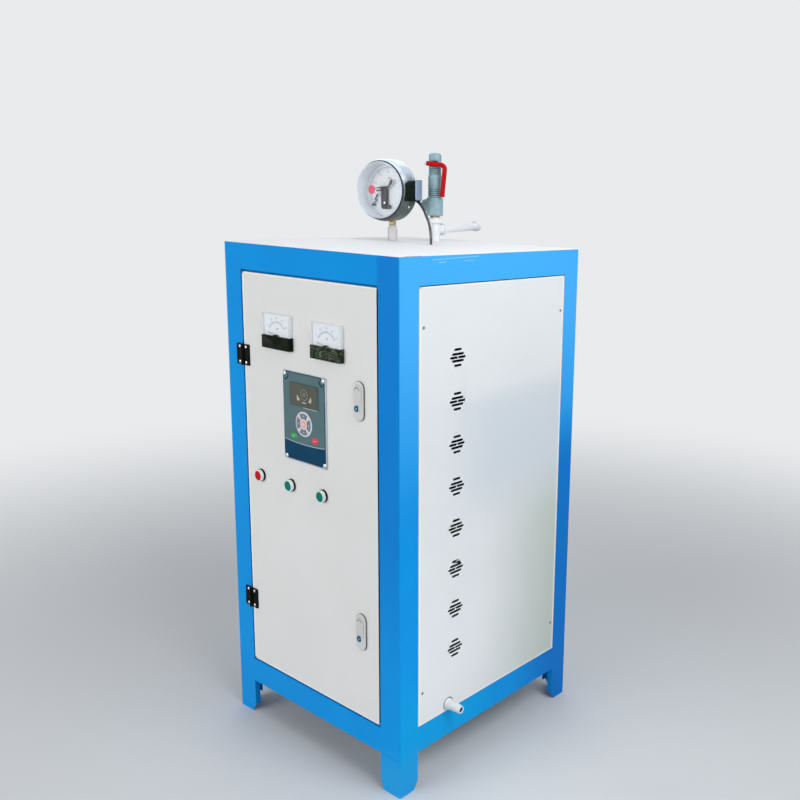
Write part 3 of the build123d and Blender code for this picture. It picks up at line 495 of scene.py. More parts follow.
on_right = ("X", 299.4, 299.9)
# painted light and shade on the blue: lighter at the top of the right side, deeper low at its back, deeper
# on the front corner's face higher up, lighter and more cyan towards the floor
drifted(blue_coat, "#46B1FC", on_right, ("Z", 560, 1080))
drifted(blue_coat, "#0079D2", on_right, ("Y", 60, 250), ("Z", 840, 640))
drifted(blue_coat, "#0083DA", ("X", 231, 239), ("Y", -299.4, -299.9), ("Z", 260, 640))
drifted(blue_coat, "#00A2E8", on_right, ("Y", 60, -100), ("Z", 330, 150))
drifted(blue_coat, "#22A3E8", ("X", 200, 235), ("Y", -200, -235), ("Z", 130, 40))
# painted shade on the white panel: grey-green low down at the back, darker and bluer in a band halfway up
drifted(white_coat, "#C6D0C8", ("Y", -60, 250), ("Z", 1000, 480))
drifted(white_coat, "#D5DDE4", ("Y", -235, 10), ("Z", 920, 840), ("Z", 520, 720))
print("drifts mixed into", blue_coat.name, "and", white_coat.name)

# %% [markdown]
# The fittings on top are pipe, castings and pressed sheet, each with its usual coat: a primer on a
# weld socket, a thin paint on steam pipe, a silvery paint on a casting, enamel on a gauge case.

# %% Finishes of the fittings
# dull and faintly pink, with the steel's roughness under it
pipe_zinc = surface("primed_pipe_socket_steel", "pipe_steel", "#CAC8CA", 0.46, 0.1, tint="#D8D5D6",
                    cloud_mm=14, grain_mm=1.5, grain_depth=0.05, gloss_range=0.1)
# silvery white, brushed on a little unevenly
pipe_paint = surface("aluminium_paint_on_pipe", "pipe_painted", "#E2E5E9", 0.4, tint="#E9EBEF",
                     cloud_mm=25, grain_mm=1.2, grain_depth=0.04)
# white, slightly grubby in patches
thread_steel = surface("white_painted_blow_down_pipe", "drain_steel", "#E8ECEC", 0.4, tint="#DADFDF",
                       cloud_mm=9, gloss_range=0.08)
# grey-green over a sandy skin that breaks up the light
casting = surface("aluminium_painted_valve_casting", "valve_casting", "#86A3AC", 0.5, 0.1, tint="#97B8C4",
                  cloud_mm=12, grain_mm=0.9, grain_depth=0.12, specular=0.35)
# warm yellow, browned in patches
brass = surface("machined_brass_tarnished", "brass", "#CDB78C", 0.42, 0.6, tint="#B59A66", cloud_mm=7,
                gloss_range=0.1)
# a thick glossy red skin
red_enamel = surface("red_enamel_on_steel_rod", "lever_red", "#C4141C", 0.3, tint="#AE0A12", cloud_mm=14,
                     specular=0.3, ior=deep_ior)
# glossy enough to mirror the room; its colour also carries a painted reflection, bright above and dark
# below
case_enamel = surface("grey_stove_enamel_on_gauge_case", "gauge_case", "#8F9B9C", 0.24, 0.5,
                      tint="#A3AEB0", cloud_mm=30)
# a bright mirror
surface("polished_steel_bezel_ring", "gauge_ring", "#C9CDD1", 0.16, 1.0, cloud_mm=30)
# cool matt white that stays bright behind its window
surface("white_dial_enamel", "gauge_dial", "#F3F7FB", 0.4, cloud_mm=30)
# greenish black with a low gloss
phenolic = surface("black_phenolic_moulding", "terminal_black", "#0E1714", 0.3, tint="#16211D",
                   cloud_mm=10, specular=0.2, ior=deep_ior)
# smooth, with a cool tint
cover_grey = surface("blue_grey_moulded_cover", "terminal_grey", "#7793A8", 0.3, tint="#8798B4",
                     cloud_mm=12)
# black with a line of light along it
cable_rubber = surface("black_rubber_cable_sheath", "cable_black", "#161C20", 0.2, tint="#20282D",
                       cloud_mm=6, specular=1.0)
print("fitting finishes ready")

# %% [markdown]
# The devices on the door are moulded plastics, printed film and small zinc castings. Their gloss
# tells them apart: lacquer and acetal shine, polyamide and film hardly do.

# %% Finishes of the door devices
# almost black, with a dull shine
surface("black_lacquered_zinc_hinge", "hinge_black", "#0A0F0A", 0.34, tint="#121712", cloud_mm=10,
        specular=0.1, ior=deep_ior)
# clean white with a soft gloss
meter_plastic = surface("white_moulded_meter_case", "meter_body", "#F2F4F7", 0.36, cloud_mm=20)
# grey-green and nearly matt
controller_film = surface("slate_polycarbonate_film", "controller_face", "#557277", 0.42, tint="#5B787D",
                          cloud_mm=40, specular=0.3, ior=deep_ior)
# charcoal, fine and dry
surface("charcoal_abs_housing", "controller_housing", "#2B3033", 0.5, cloud_mm=20)
# dry black
surface("black_polyamide_button_block", "button_black", "#0F140E", 0.45, cloud_mm=12, specular=0.12,
        ior=deep_ior)
# off-white that lights up along its round
bezel_white = surface("pale_moulded_bezel", "button_bezel", "#ECEFF0", 0.34, cloud_mm=12)
# deep red with a soft shine
surface("red_acetal_button_cap", "button_red", "#C20814", 0.34, cloud_mm=8, specular=0.25, ior=deep_ior)
# sea green with a soft shine
surface("green_acetal_button_cap", "button_green", "#007A66", 0.34, cloud_mm=8, specular=0.25, ior=deep_ior)
# satin, more white than metal
lock_zinc = surface("satin_zinc_die_casting", "lock_grey", "#CFD1D1", 0.38, 0.15, tint="#D9DBDA",
                    cloud_mm=20)


def clear_sheet(name, slot, tint, roughness, share):
    """A clear sheet or moulding. share is how much of its milky skin hides what lies behind it."""
    material = surface(name, slot, tint, roughness, cloud_mm=30, gloss_range=0.02)
    plug(part_of(material, "BsdfPrincipled"), Alpha=share)
    return material


# seen by its reflections alone
gauge_glass = clear_sheet("flat_window_glass", "gauge_glass", "#DCE8F4", 0.04, 0.045)
# reflections and a faint haze over the dial
meter_clear = clear_sheet("clear_acrylic_meter_cover", "meter_clear", "#EEF3FA", 0.06, 0.1)
print("device finishes ready")

# %% [markdown]
# The loaded nodes carry the part's own names for the finishes. Each name is swapped for the finish
# that stands for it, so every plain solid is dressed before the new pieces are added.

# %% Finishes onto the loaded nodes
slot_finishes = {slot: bpy.data.materials[name] for name, slot in finish_slots.items()}
for node in nodes.values():
    for material_slot in node.material_slots:
        material_slot.material = slot_finishes[material_slot.material.name.split(".")[0]]
cable.data.materials.clear()
cable.data.materials.append(cable_rubber)
print(len(slot_finishes), "finishes on", len(nodes), "nodes")

# %% [markdown]
# Round metal is turned, so most small pieces come from one move: a circle is drawn, extruded and
# resized ring by ring along the outline of half a section, as a lathe tool follows it.

# %% A piece as from a lathe
def turned_piece(name, body, material, origin, axes, outline, segments=64, smooth=30.0, hole=False,
                 widen=1.0):
    """A piece as from a lathe. outline lists (radius, height) in millimetres, from the first face up
    the outside to the last. A circle is added there, then extruded and resized ring by ring. With a
    hole the outline runs back to its start. widen stretches it along its own x to an oval."""
    clear()
    radius, height = outline[0]
    mesh_ops.primitive_circle_add(vertices=segments, radius=radius * MM, location=(0, 0, height * MM),
                                  fill_type="NOTHING" if hole else "NGON")
    piece = settled()
    edit_all()
    for next_radius, next_height in outline[1:] + (outline[:1] if hole else []):
        extrude(0, 0, next_height - height)
        if abs(next_radius - radius) > 1e-6:
            factor = next_radius / radius
            bpy.ops.transform.resize(value=(factor, factor, 1), center_override=(0, 0, 0))
        radius, height = next_radius, next_height
    if widen != 1.0:
        mesh_ops.select_all(action="SELECT")
        bpy.ops.transform.resize(value=(widen, 1, 1), center_override=(0, 0, 0))
    close_skin(1e-6)
    stand(piece, origin, *axes)
    return finish(piece, name, body, material, smooth)


print("lathe move ready")

# %% [markdown]
# The gauge is a drum with contacts behind its window. The drum is pressed from sheet and enamelled:
# a lathe outline gives it in one go, with a rolled bead round its middle and a rounded back. It is
# turned a little from the cabinet's front, so its parts are placed in the gauge's own plane.

# %% Gauge drum
gauge_across = Vector((0.98629, 0.16505, 0))
gauge_out = Vector((0.16505, -0.98629, 0))
gauge_axes = (gauge_across, gauge_out)
gauge_plane = (at(-177, 120, 1328), gauge_axes)


def on_gauge(across, up, out):
    """A point in millimetres from the middle of the gauge's back plane."""
    return gauge_plane[0] + (gauge_across * across + Vector((0, 0, up)) + gauge_out * out) * MM


# Painted reflection: the enamel's colour runs by height from dark grey-green low down to bright bluish
# white above, as the room would mirror in it.
case_place = add(case_enamel, "TexCoord").outputs["Object"]
case_height = add(case_enamel, "SeparateXYZ", i0=case_place).outputs["Z"]
wander = add(case_enamel, "TexNoise", Scale=1 / (22 * MM), Detail=3.0, Vector=case_place).outputs["Fac"]
mirrored = add(case_enamel, "Math", {"operation": "MULTIPLY_ADD"}, i0=wander, i1=0.03, i2=case_height)
sky_low, sky_high = 1349 * MM, 1376 * MM  # heights between which the mirrored room turns bright
band = add(case_enamel, "MapRange", i0=mirrored.outputs[0], i1=sky_low, i2=sky_high, i3=0.0, i4=1.0)
painted_reflection_tones = add(case_enamel, "ValToRGB", i0=band.outputs[0],
                   stops=[(0.0, "#5F6964"), (0.25, "#6A7571"), (0.8, "#B9C6D4"), (1.0, "#CFDBE8")])
plug(part_of(case_enamel, "BsdfPrincipled"), Base_Color=painted_reflection_tones.outputs["Color"])
print("drum's enamel mirrors the bright room above", round(sky_low / MM), "mm")

# %% [markdown]
# The drum's mouth holds a rubber gasket, a clear rim that stands up like a bowl, a pale liner inside
# and the window sheet. All are rings on one axis, and each is turned.

# %% Drum, rim and window
drum = turned_piece(
    "gauge_drum", "cabinet", case_enamel, on_gauge(0, 0, 0), gauge_axes,
    [(60, -5), (74, -5), (77, -3.6), (78.6, -1), (79, 3), (79, 8.4), (77.9, 9), (77.9, 10.6), (79, 11.2),
     (79, 34), (78.6, 37.6), (77.4, 41.5), (75.6, 45.4), (74.2, 48.2), (73.7, 50), (68.2, 50),
     (68.2, 15.4)], segments=96, smooth=40)
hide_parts("gauge_case")
# a thin dark line round the drum's mouth
gasket_rubber = surface("navy_black_rubber_gasket", "gauge_case", "#0D1424", 0.5, tint="#151D30",
                        cloud_mm=10)
turned_piece("gauge_gasket", "cabinet", gasket_rubber, on_gauge(0, 0, 0), gauge_axes,
             [(73.6, 49.6), (74.4, 50), (74.4, 51.9), (73.4, 52.6), (70.8, 52.6), (70.8, 49.6)], 96,
             hole=True)
# milky where it is seen edge on
rim_plastic = surface("clear_polycarbonate_rim", "gauge_ring", "#CFD9E2", 0.2, tint="#DAE3EB", cloud_mm=20)
rim = turned_piece("gauge_rim", "cabinet", rim_plastic, on_gauge(0, 0, 0), gauge_axes,
                   [(71.5, 51), (71.5, 56.2), (71.1, 57.4), (70.3, 58), (69.5, 57.9), (69, 57.2),
                    (68.8, 56), (68.8, 51)], 96, hole=True)
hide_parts("gauge_ring")
# a soft pale wall round the dial
liner_paint = surface("pale_lilac_satin_liner", "gauge_dial", "#DCE2E9", 0.42, tint="#E9EEF3", cloud_mm=24)
turned_piece("gauge_liner", "cabinet", liner_paint, on_gauge(0, 0, 0), gauge_axes,
             [(68.1, 15.6), (68.1, 56.4), (67.2, 56.4), (67.2, 15.6)], 96, hole=True)
window = turned_piece("gauge_window_sheet", "cabinet", gauge_glass, on_gauge(0, 0, 0), gauge_axes,
                      [(67.1, 53.4), (67.1, 55.2)], 96)
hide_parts("gauge_window")
print("drum", [round(v * 1000) for v in drum.dimensions], "mm")

# %% [markdown]
# The dial is white enamel with a fine scale printed on it. A printed mark has no height to speak of,
# but a hair of thickness keeps it from flickering into the enamel. The scale is one ring in equal
# parts with the parts between the marks taken out, so every mark points at the middle.

# %% Marks of a scale
def printed_ring(name, body, material, origin, axes, inner, outer, keep, thick=0.25, parts=360):
    """A flat ring in equal parts, of which only those stay whose middle angle, in degrees from the
    ring's own x, passes the test keep. It makes scales, arcs, ticks and key segments."""
    clear()
    mesh_ops.primitive_circle_add(vertices=parts, radius=inner * MM, fill_type="NOTHING")
    piece = bpy.context.object
    edit_all()
    mesh_ops.extrude_region_move()
    bpy.ops.transform.resize(value=(outer / inner, outer / inner, 1), center_override=(0, 0, 0))
    leave()

    def left_out(face):
        middle = face.calc_center_median()
        return not keep(degrees(atan2(middle.y, middle.x)) % 360)

    edit(test_faces=left_out)
    mesh_ops.delete(type="FACE")
    mesh_ops.select_all(action="SELECT")
    extrude(0, 0, thick)
    close_skin()
    stand(piece, origin, *axes)
    return finish(piece, name, body, material)


def on_plane(plane, place, rise):
    """A point of a plane, given in millimetres along its two axes and above it."""
    centre, (across, out) = plane
    return centre + (across * place[0] + out.cross(across) * place[1] + out * rise) * MM


def printed_text(name, body, material, plane, words, place, rise, size, thick=0.15):
    """Letters or figures, as printed on a scale, made a mesh before their place is applied."""
    clear()
    bpy.ops.object.text_add()
    text = bpy.context.object
    text.data.body, text.data.size, text.data.extrude = words, size * MM, thick * MM / 2
    text.data.align_x, text.data.align_y, text.data.resolution_u = "CENTER", "CENTER", 3
    bpy.ops.object.convert(target="MESH")
    text = bpy.context.object
    stand(text, on_plane(plane, place, rise), *plane[1])
    edit_all()
    close_skin(1e-6)
    return finish(text, name, body, material, 0)


def joined(pieces, name):
    """Makes one piece of several that are one thing, such as the marks of a scale."""
    clear()
    for piece in pieces:
        piece.select_set(True)
    bpy.context.view_layer.objects.active = pieces[0]
    bpy.ops.object.join()
    pieces[0].name = pieces[0].data.name = name
    return pieces[0]


print("marks and letters ready")

# %% [markdown]
# The dial's scale runs over three quarters of a turn, from 0 to 1.6, with a main mark at every 0.2.

# %% Gauge dial
# pale, as print looks behind the glare of glass
print_grey = surface("grey_printing_ink", "gauge_dial", "#A9B4C0", 0.5, tint="#B8C2CC", cloud_mm=10)
# faded red
print_red = surface("red_printing_ink", "gauge_dial", "#C25A66", 0.5, cloud_mm=10)
dial_back = on_gauge(0, 0, 17)
scale_start, scale_sweep, main_step, fine_step = 225, 270, 33.75, 5.4  # degrees
figure_radius, ink_rise = 46, 17.1


def along_scale(angle, step, half):
    """True near each step of the scale, which runs clockwise from its start."""
    place = (scale_start - angle) % 360
    return place <= scale_sweep + 0.6 and abs((place + step / 2) % step - step / 2) <= half


scale_marks = [
    printed_ring(name, "cabinet", print_grey, dial_back, gauge_axes, inner, outer, keep)
    for name, inner, outer, keep in (
        ("scale_fine", 55, 58.5, lambda a: along_scale(a, fine_step, 0.6)),
        ("scale_main", 51.5, 58.5, lambda a: along_scale(a, main_step, 0.9)),
        ("scale_arc", 58.5, 59.3, lambda a: (scale_start - a) % 360 <= scale_sweep))
]
for count in range(9):
    turn = radians(scale_start - main_step * count)
    place = (figure_radius * cos(turn), figure_radius * sin(turn))
    scale_marks.append(printed_text(f"figure_{count}", "cabinet", print_grey, gauge_plane,
                                    f"{0.2 * count:g}", place, ink_rise, 8.5))
joined(scale_marks, "gauge_scale")
printed_text("gauge_unit", "cabinet", print_red, gauge_plane, "MPa", (6, 30), ink_rise, 8)
print("scale of", len(scale_marks), "marks joined")

# %% [markdown]
# Flat strips and moulded plates are both a block whose corners and outer edge are rounded, as a
# press or a mould leaves them. A bar is such a plate between two points of a face.

# %% Plates and bars
def plate_piece(name, body, material, origin, axes, size, corner=0.0, edge=0.0, steps=3, round_steps=8):
    """A plate of size (width, height, thickness) in millimetres, from z 0 to its thickness, with its
    corners rounded (or cut, with one step) and the edge of its outer face bevelled."""
    width, height, thick = size
    piece = block(size, (0, 0, thick / 2))
    if corner:
        round_edges(lambda e: abs(e.verts[0].co.z - e.verts[1].co.z) > thick * MM * 0.9, corner,
                    round_steps)
    if edge:
        round_rim(lambda f: f.normal.z > 0.9, edge, steps)
    stand(piece, origin, *axes)
    return finish(piece, name, body, material)


def bar_piece(name, body, material, plane, a, b, rise, width, thick, corner=0.6, edge=0.3):
    """A flat bar from a to b, both in the millimetres of a plane, which gives its origin and axes."""
    start, end = (on_plane(plane, p, rise) for p in (a, b))
    return plate_piece(name, body, material, (start + end) / 2, (end - start, plane[1][1]),
                       ((end - start).length / MM, width, thick), corner, edge, 2, round_steps=4)


print("plates and bars ready")

# %% [markdown]
# In front of the dial stands the contact bridge, an olive lacquered steel strip on a foot, with an
# arm to the upper right, two short pointers at the lower left and a round red tab. They are small
# flat strips, so each is a bar between two points, with its corners rounded and its edge broken.

# %% Gauge contact bridge
# the darkest shape behind the glass
olive_steel = surface("olive_lacquered_steel_strip", "terminal_black", "#1A1B13", 0.4, tint="#29291F",
                      cloud_mm=8, specular=0.25)
# dark, with a red-brown glow in the light
brown_steel = surface("brown_lacquered_contact_strip", "terminal_black", "#2A1617", 0.42, tint="#3C2022",
                      cloud_mm=6, specular=0.25)
# dark and cool beside the brown strips
slate_steel = surface("slate_lacquered_contact_arm", "terminal_black", "#262E38", 0.4, tint="#39434F",
                      cloud_mm=6, specular=0.3)
# one bright spot
tab_red = surface("red_acetal_tab", "button_red", "#E0213F", 0.42, tint="#EB3650", cloud_mm=6)
# a bright point on every screw
nickel = surface("bright_nickel_screw", "lock_grey", "#DADCDD", 0.26, 0.85, tint="#C9CBCC", cloud_mm=3)
strips = (
    ("bridge_strip", olive_steel, (-8, 5), (-8, -45), 24, 17, 2.4, 2),
    ("bridge_fold", olive_steel, (-0.6, 4), (-0.6, -44), 17.2, 2, 8, 0.5),
    ("bridge_head", brown_steel, (-20, 6), (4, 8), 25.5, 5, 2, 1.5),
    ("bridge_foot", olive_steel, (-15, -44), (11, -42), 20, 9, 4, 2),
    ("bridge_arm", slate_steel, (1, 3), (16, 19), 25, 5, 2, 1.5),
    ("bridge_arm_tip", slate_steel, (14, 15), (19, 27), 26.5, 8, 2, 3.6),
    ("contact_prong_upper", brown_steel, (-36, 4), (-19, 7), 25.4, 2.4, 1.2),
    ("contact_prong_lower", brown_steel, (-33, -2), (-17, 0), 25.4, 3.4, 1.2),
    ("pointer_low_inner", brown_steel, (-30, -10), (-40, -25), 22, 4, 1),
    ("pointer_low_outer", slate_steel, (-33, -24), (-42, -33), 21, 3, 1),
    ("pointer_low_weight", slate_steel, (-50, -37), (-39, -38), 20.6, 6, 1.6, 2))
for name, strip_steel, *sizes in strips:
    bar_piece(name, "cabinet", strip_steel, gauge_plane, *sizes)
turned_piece("bridge_screw", "cabinet", nickel, on_gauge(-5, -32, 26.4), gauge_axes,
             [(3, 0), (3, 1), (2.5, 1.7), (1.3, 2)], 24)
turned_piece("window_red_tab", "cabinet", tab_red, on_gauge(-31, 1, 45.5), gauge_axes,
             [(11, 0), (11, 0.5), (10.2, 0.9), (4, 1.1)], 48)
screw_turn, screw_radius = radians(-31), 76.6
turned_piece("drum_screw", "cabinet", nickel,
             on_gauge(screw_radius * cos(screw_turn), screw_radius * sin(screw_turn), 20),
             (gauge_out, gauge_across * cos(screw_turn) + Vector((0, 0, 1)) * sin(screw_turn)),
             [(3.4, 0), (3.4, 3.4), (2.8, 4.2), (1.6, 4.6)], 24)
print("contact bridge of", len(strips), "strips, two screws and a tab")

# %% [markdown]
# Some solids of the model already have the right shape but sharp edges, which no moulding, casting
# or folded sheet has. Such a piece is a merged copy of its node with those edges rounded.

# %% A softened copy of a node
def softened(node_name, name, body, material, width, steps=3, edges=None, more=()):
    """A merged copy of a plain node with its edges rounded: those that pass the test edges, or else
    every outer edge sharper than 35 degrees. more lists further bevels as (test, width, steps)."""
    clear()
    source = nodes[node_name]
    piece = bpy.data.objects.new(name, source.data.copy())
    bpy.context.scene.collection.objects.link(piece)
    bpy.context.view_layer.objects.active = piece
    piece.select_set(True)
    edit_all()
    mesh_ops.remove_doubles(threshold=2e-6)
    mesh_ops.dissolve_limited(angle_limit=radians(1.0))
    leave()
    sharp = edges or (lambda e: e.is_manifold and e.calc_face_angle_signed() > radians(35))
    for test, offset, count in ((sharp, width, steps), *more):
        round_edges(test, offset, count, clamp=test is sharp)
    finish(piece, name, body, material, 35)
    modified(piece, "WEIGHTED_NORMAL", keep_sharp=True)
    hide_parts(node_name)
    return piece


print("softened copies ready")

# %% [markdown]
# The gauge's terminal box is a black moulding: a block with two sides cut off at a slant, where the
# cable's sleeve comes out below. Its cover is a blue-grey plate. The stem is brass and the socket is
# primed steel; both are softened copies.

# %% Terminal box, stem and socket
box_middle = on_gauge(98.5, 0.2, 27)
box_piece = block((27, 36, 51.6), (-13.5, 0, 0))
for through, outward in (((0, -6, 0), (0.491, -0.871, 0)), ((-10, -18, 16), (0, -0.573, 0.819))):
    edit_all()
    mesh_ops.bisect(plane_co=[v * MM for v in through], plane_no=outward, use_fill=True, clear_outer=True)
    leave()
round_edges(lambda e: e.calc_face_angle_signed() > radians(20), 1.5, 3, clamp=True)
stand(box_piece, box_middle, gauge_across, Vector((0, 0, 1)))
finish(box_piece, "terminal_box_moulding", "cabinet", phenolic, 35)
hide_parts("terminal_box")
cover_piece = plate_piece("terminal_cover_moulding", "cabinet", cover_grey, on_gauge(98.3, 2.4, 21.4),
                          (gauge_out, gauge_across), (23.4, 51, 5), 3.6, 1.6, 4)
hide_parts("terminal_cover")
softened("gauge_stem", "gauge_stem_brass", "cabinet", brass, 1.2)
softened("gauge_socket", "gauge_socket_primed", "cabinet", pipe_zinc, 1.0)
turned_piece("cable_gland_nut", "cabinet", phenolic, at(-82, 118, 1304.5),
             (gauge_out, Vector((0.797, -0.088, -0.597))),
             [(4.8, 0), (5, 0.8), (4.8, 4), (3.9, 6), (3.6, 14.6), (3.4, 15.4)], 24)
print("terminal box and its fittings made")

# %% [markdown]
# The safety valve's body is one casting: an upright barrel, a side outlet and a web that joins them.
# Cast metal flows together, so the three shapes are joined, remeshed as one skin and smoothed. The
# outlet is then bored with a cutter, and its thread is a few turned ridges in the bore.

# %% Valve body casting
valve_x, valve_y = -82.4, 181.1
valve_foot = at(valve_x, valve_y, 0)
clear()
mesh_ops.primitive_cylinder_add(vertices=96, radius=21.3 * MM, depth=46.6 * MM,
                                location=at(valve_x, valve_y, 1289.6))
barrel = bpy.context.object
round_rim(lambda f: abs(f.normal.z) > 0.9, 1.6, 3)
settled()
clear()
mesh_ops.primitive_cone_add(vertices=96, radius1=19.4 * MM, radius2=15.2 * MM, depth=36.6 * MM,
                            location=at(valve_x - 18.4, valve_y, 1293.4), rotation=(0, -pi / 2, 0))
outlet = settled()
clear()
mesh_ops.primitive_cone_add(vertices=64, radius1=13 * MM, radius2=12 * MM, depth=30 * MM,
                            location=at(valve_x - 14, valve_y, 1281), rotation=(0, radians(-52), 0))
web = settled()
for shape in (barrel, outlet, web):
    shape.select_set(True)
bpy.context.view_layer.objects.active = barrel
bpy.ops.object.join()
modified(barrel, "REMESH", mode="VOXEL", voxel_size=0.9 * MM, use_smooth_shade=True)
modified(barrel, "SMOOTH", factor=0.5, iterations=10)
bore_middle = at(valve_x - 37, valve_y, 1294)
clear()
mesh_ops.primitive_cylinder_add(vertices=64, radius=9.3 * MM, depth=28 * MM,
                                location=bore_middle, rotation=(0, pi / 2, 0))
cut_out(barrel, bpy.context.object)
finish(barrel, "valve_body_casting", "cabinet", casting, 50)
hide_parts("valve_body")
ridges = [(9.6, 0)]
for start in (0.4 + ridge * 1.8 for ridge in range(6)):
    ridges += [(9.5, start), (8.6, start + 0.9), (9.5, start + 1.8)]
turned_piece("valve_outlet_thread", "cabinet", brass, bore_middle, (Vector((0, 1, 0)), Vector((1, 0, 0))),
             ridges + [(9.6, 12)], 48, hole=True)
print("casting of", len(barrel.data.polygons), "faces")

# %% [markdown]
# The bonnet and the cap are turned and then painted like the casting. The bonnet's foot is a plain
# sleeve, its upper half is slimmer and carries fine grooves, and a gap is cut under the cap, where the
# lever lifts the spindle. The gap's darkness and the grooves' dark lines are painted shade. The cap is
# domed.

# %% Valve bonnet and cap
# painted shade: almost no light comes back out of the spindle gap or the drain's bore
painted_gap_shade = surface("painted_shade_in_gap", "valve_casting", "#15191A", 0.6, tint="#1E2324", cloud_mm=6,
                    specular=0.2)
# painted shade: turns each groove into a darker line
groove_shade = surface("dirt_in_turned_groove", "valve_casting", "#476067", 0.7, tint="#506A71",
                       cloud_mm=6, specular=0.1)
low_grooves = [(17.6, 1317.5 + k * 5) for k in range(4)]
high_grooves = [(16.2, 1371.5 + k * 4.6) for k in range(6)]


def groove_outline(r, z):
    return [(r, z), (r - 1.2, z + 0.5), (r - 1.2, z + 1.7), (r, z + 2.2)]


bonnet_outline = [(16.8, 1312.6), (17.6, 1313.4)]
for groove in low_grooves:
    bonnet_outline += groove_outline(*groove)
bonnet_outline += [(17.6, 1368), (17, 1369), (16.2, 1369.4)]
for groove in high_grooves:
    bonnet_outline += groove_outline(*groove)
bonnet_outline += [(16.2, 1399.6), (15.9, 1406.4)]
bonnet = turned_piece("valve_bonnet_turned", "cabinet", casting, valve_foot, UP, bonnet_outline, 72)
lever_turn = radians(38)
lever_across = Vector((cos(lever_turn), sin(lever_turn), 0))
lever_out = Vector((sin(lever_turn), -cos(lever_turn), 0))
slot_cutter = block((27, 26, 4.8))
stand(slot_cutter, at(valve_x, valve_y, 1403.6) + lever_out * 13.4 * MM - lever_across * 5 * MM,
      lever_across, Vector((0, 0, 1)))
cut_out(bonnet, slot_cutter)
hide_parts("valve_bonnet")
joined([turned_piece(f"groove_painted_shade_{k}", "cabinet", groove_shade, valve_foot, UP,
                     [(r - 1.4, z + 0.5), (r - 0.7, z + 0.5), (r - 0.7, z + 1.7), (r - 1.4, z + 1.7)], 48,
                     hole=True)
        for k, (r, z) in enumerate(low_grooves + high_grooves[:5])], "valve_bonnet_groove_painted_shade")
turned_piece("valve_spindle_gap_painted_shade", "cabinet", painted_gap_shade, valve_foot, UP, [(5, 1400.8), (5, 1406.4)], 32)
cap = turned_piece("valve_cap_domed", "cabinet", casting, valve_foot, UP,
                   [(14.8, 1405.9), (16.2, 1406.5), (16.3, 1408), (16.3, 1417.4), (15.7, 1420.4),
                    (14.3, 1422.8), (11.8, 1424.6), (7.8, 1425.7), (3, 1426)], 72, smooth=50)
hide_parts("valve_cap")
print("bonnet and cap turned")

# %% [markdown]
# The lever is a red enamelled rod, bent once. A circle is extruded along the level arm, spun round
# the bend and extruded down, as the rod itself was bent. Its pale end is the nut on the pivot.

# %% Valve lever
lever_axes = (lever_across, lever_out)
lever_middle = at(-80, 183, 1360) + lever_out * 24.4 * MM
rod_radius, bend_radius = 6.1, 11.0


def bent_rod(name, body, material, plane, start, corner, end, radius, bend, segments=32, bend_steps=10):
    """A round rod from start past a corner to end, bent with the radius bend, in a plane's
    millimetres. A circle is extruded, spun round the middle of the bend and extruded again."""
    centre, (across, out) = plane
    first = (Vector(corner) - Vector(start)).normalized()
    last = (Vector(end) - Vector(corner)).normalized()
    turn = first.angle(last)
    cut = bend * sin(turn / 2) / cos(turn / 2)
    side = -1 if first.x * last.y - first.y * last.x < 0 else 1
    in_point = Vector(corner) - first * cut
    pivot = in_point + Vector((-first.y, first.x)) * side * bend
    clear()
    mesh_ops.primitive_circle_add(vertices=segments, radius=radius * MM, fill_type="NGON")
    piece = bpy.context.object
    stand(piece, Vector((start[0], start[1], 0)) * MM, Vector((0, 0, 1)), Vector((first.x, first.y, 0)))
    settled()
    edit_all()
    run = in_point - Vector(start)
    extrude(run.x, run.y, 0)
    for _ in range(bend_steps):
        mesh_ops.extrude_region_move()
        part = Matrix.Rotation(side * turn / bend_steps, 4, "Z")
        middle = Matrix.Translation((pivot.x * MM, pivot.y * MM, 0))
        work = bmesh.from_edit_mesh(piece.data)
        bmesh.ops.transform(work, matrix=middle @ part @ middle.inverted(),
                            verts=[v for v in work.verts if v.select])
        bmesh.update_edit_mesh(piece.data)
    run = Vector(end) - (Vector(corner) + last * cut)
    extrude(run.x, run.y, 0)
    close_skin()
    round_rim(lambda f: len(f.verts) > 8, radius * 0.3, 3)
    stand(piece, centre, across, out)
    return finish(piece, name, body, material, 40)


lever = bent_rod("valve_lever_rod", "valve_lever", red_enamel, (lever_middle, lever_axes), (-22.5, 38.8),
                 (25.4, 34.8), (18.4, -45.5), rod_radius, bend_radius)
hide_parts("valve_lever")
# a pale end to the red rod
pale_nut = surface("pale_zinc_end_nut", "valve_casting", "#DADBD8", 0.34, 0.3, tint="#C9CBC9", cloud_mm=4)
turned_piece("valve_lever_end", "valve_lever", pale_nut,
             lever_middle + lever_across * -22.4 * MM + Vector((0, 0, 39.2 * MM)),
             (lever_out, -lever_across),
             [(5.9, 0), (5.9, 1.8), (4.9, 3.6), (2.8, 4.6)], 32)
turned_piece("valve_pivot_boss", "cabinet", casting,
             at(valve_x, valve_y, 1397.5) + lever_across * -12 * MM + lever_out * 7 * MM,
             (lever_across, lever_out), [(5, 0), (5, 10.6), (4.4, 11.4)], 32)
print("lever bent, radius", bend_radius)

# %% [markdown]
# The tee and the outlet pipe are painted white. A cast tee has a rounded band at each mouth and a
# swelling where its arms meet, and the outlet ends in a short coupling with rolled edges.

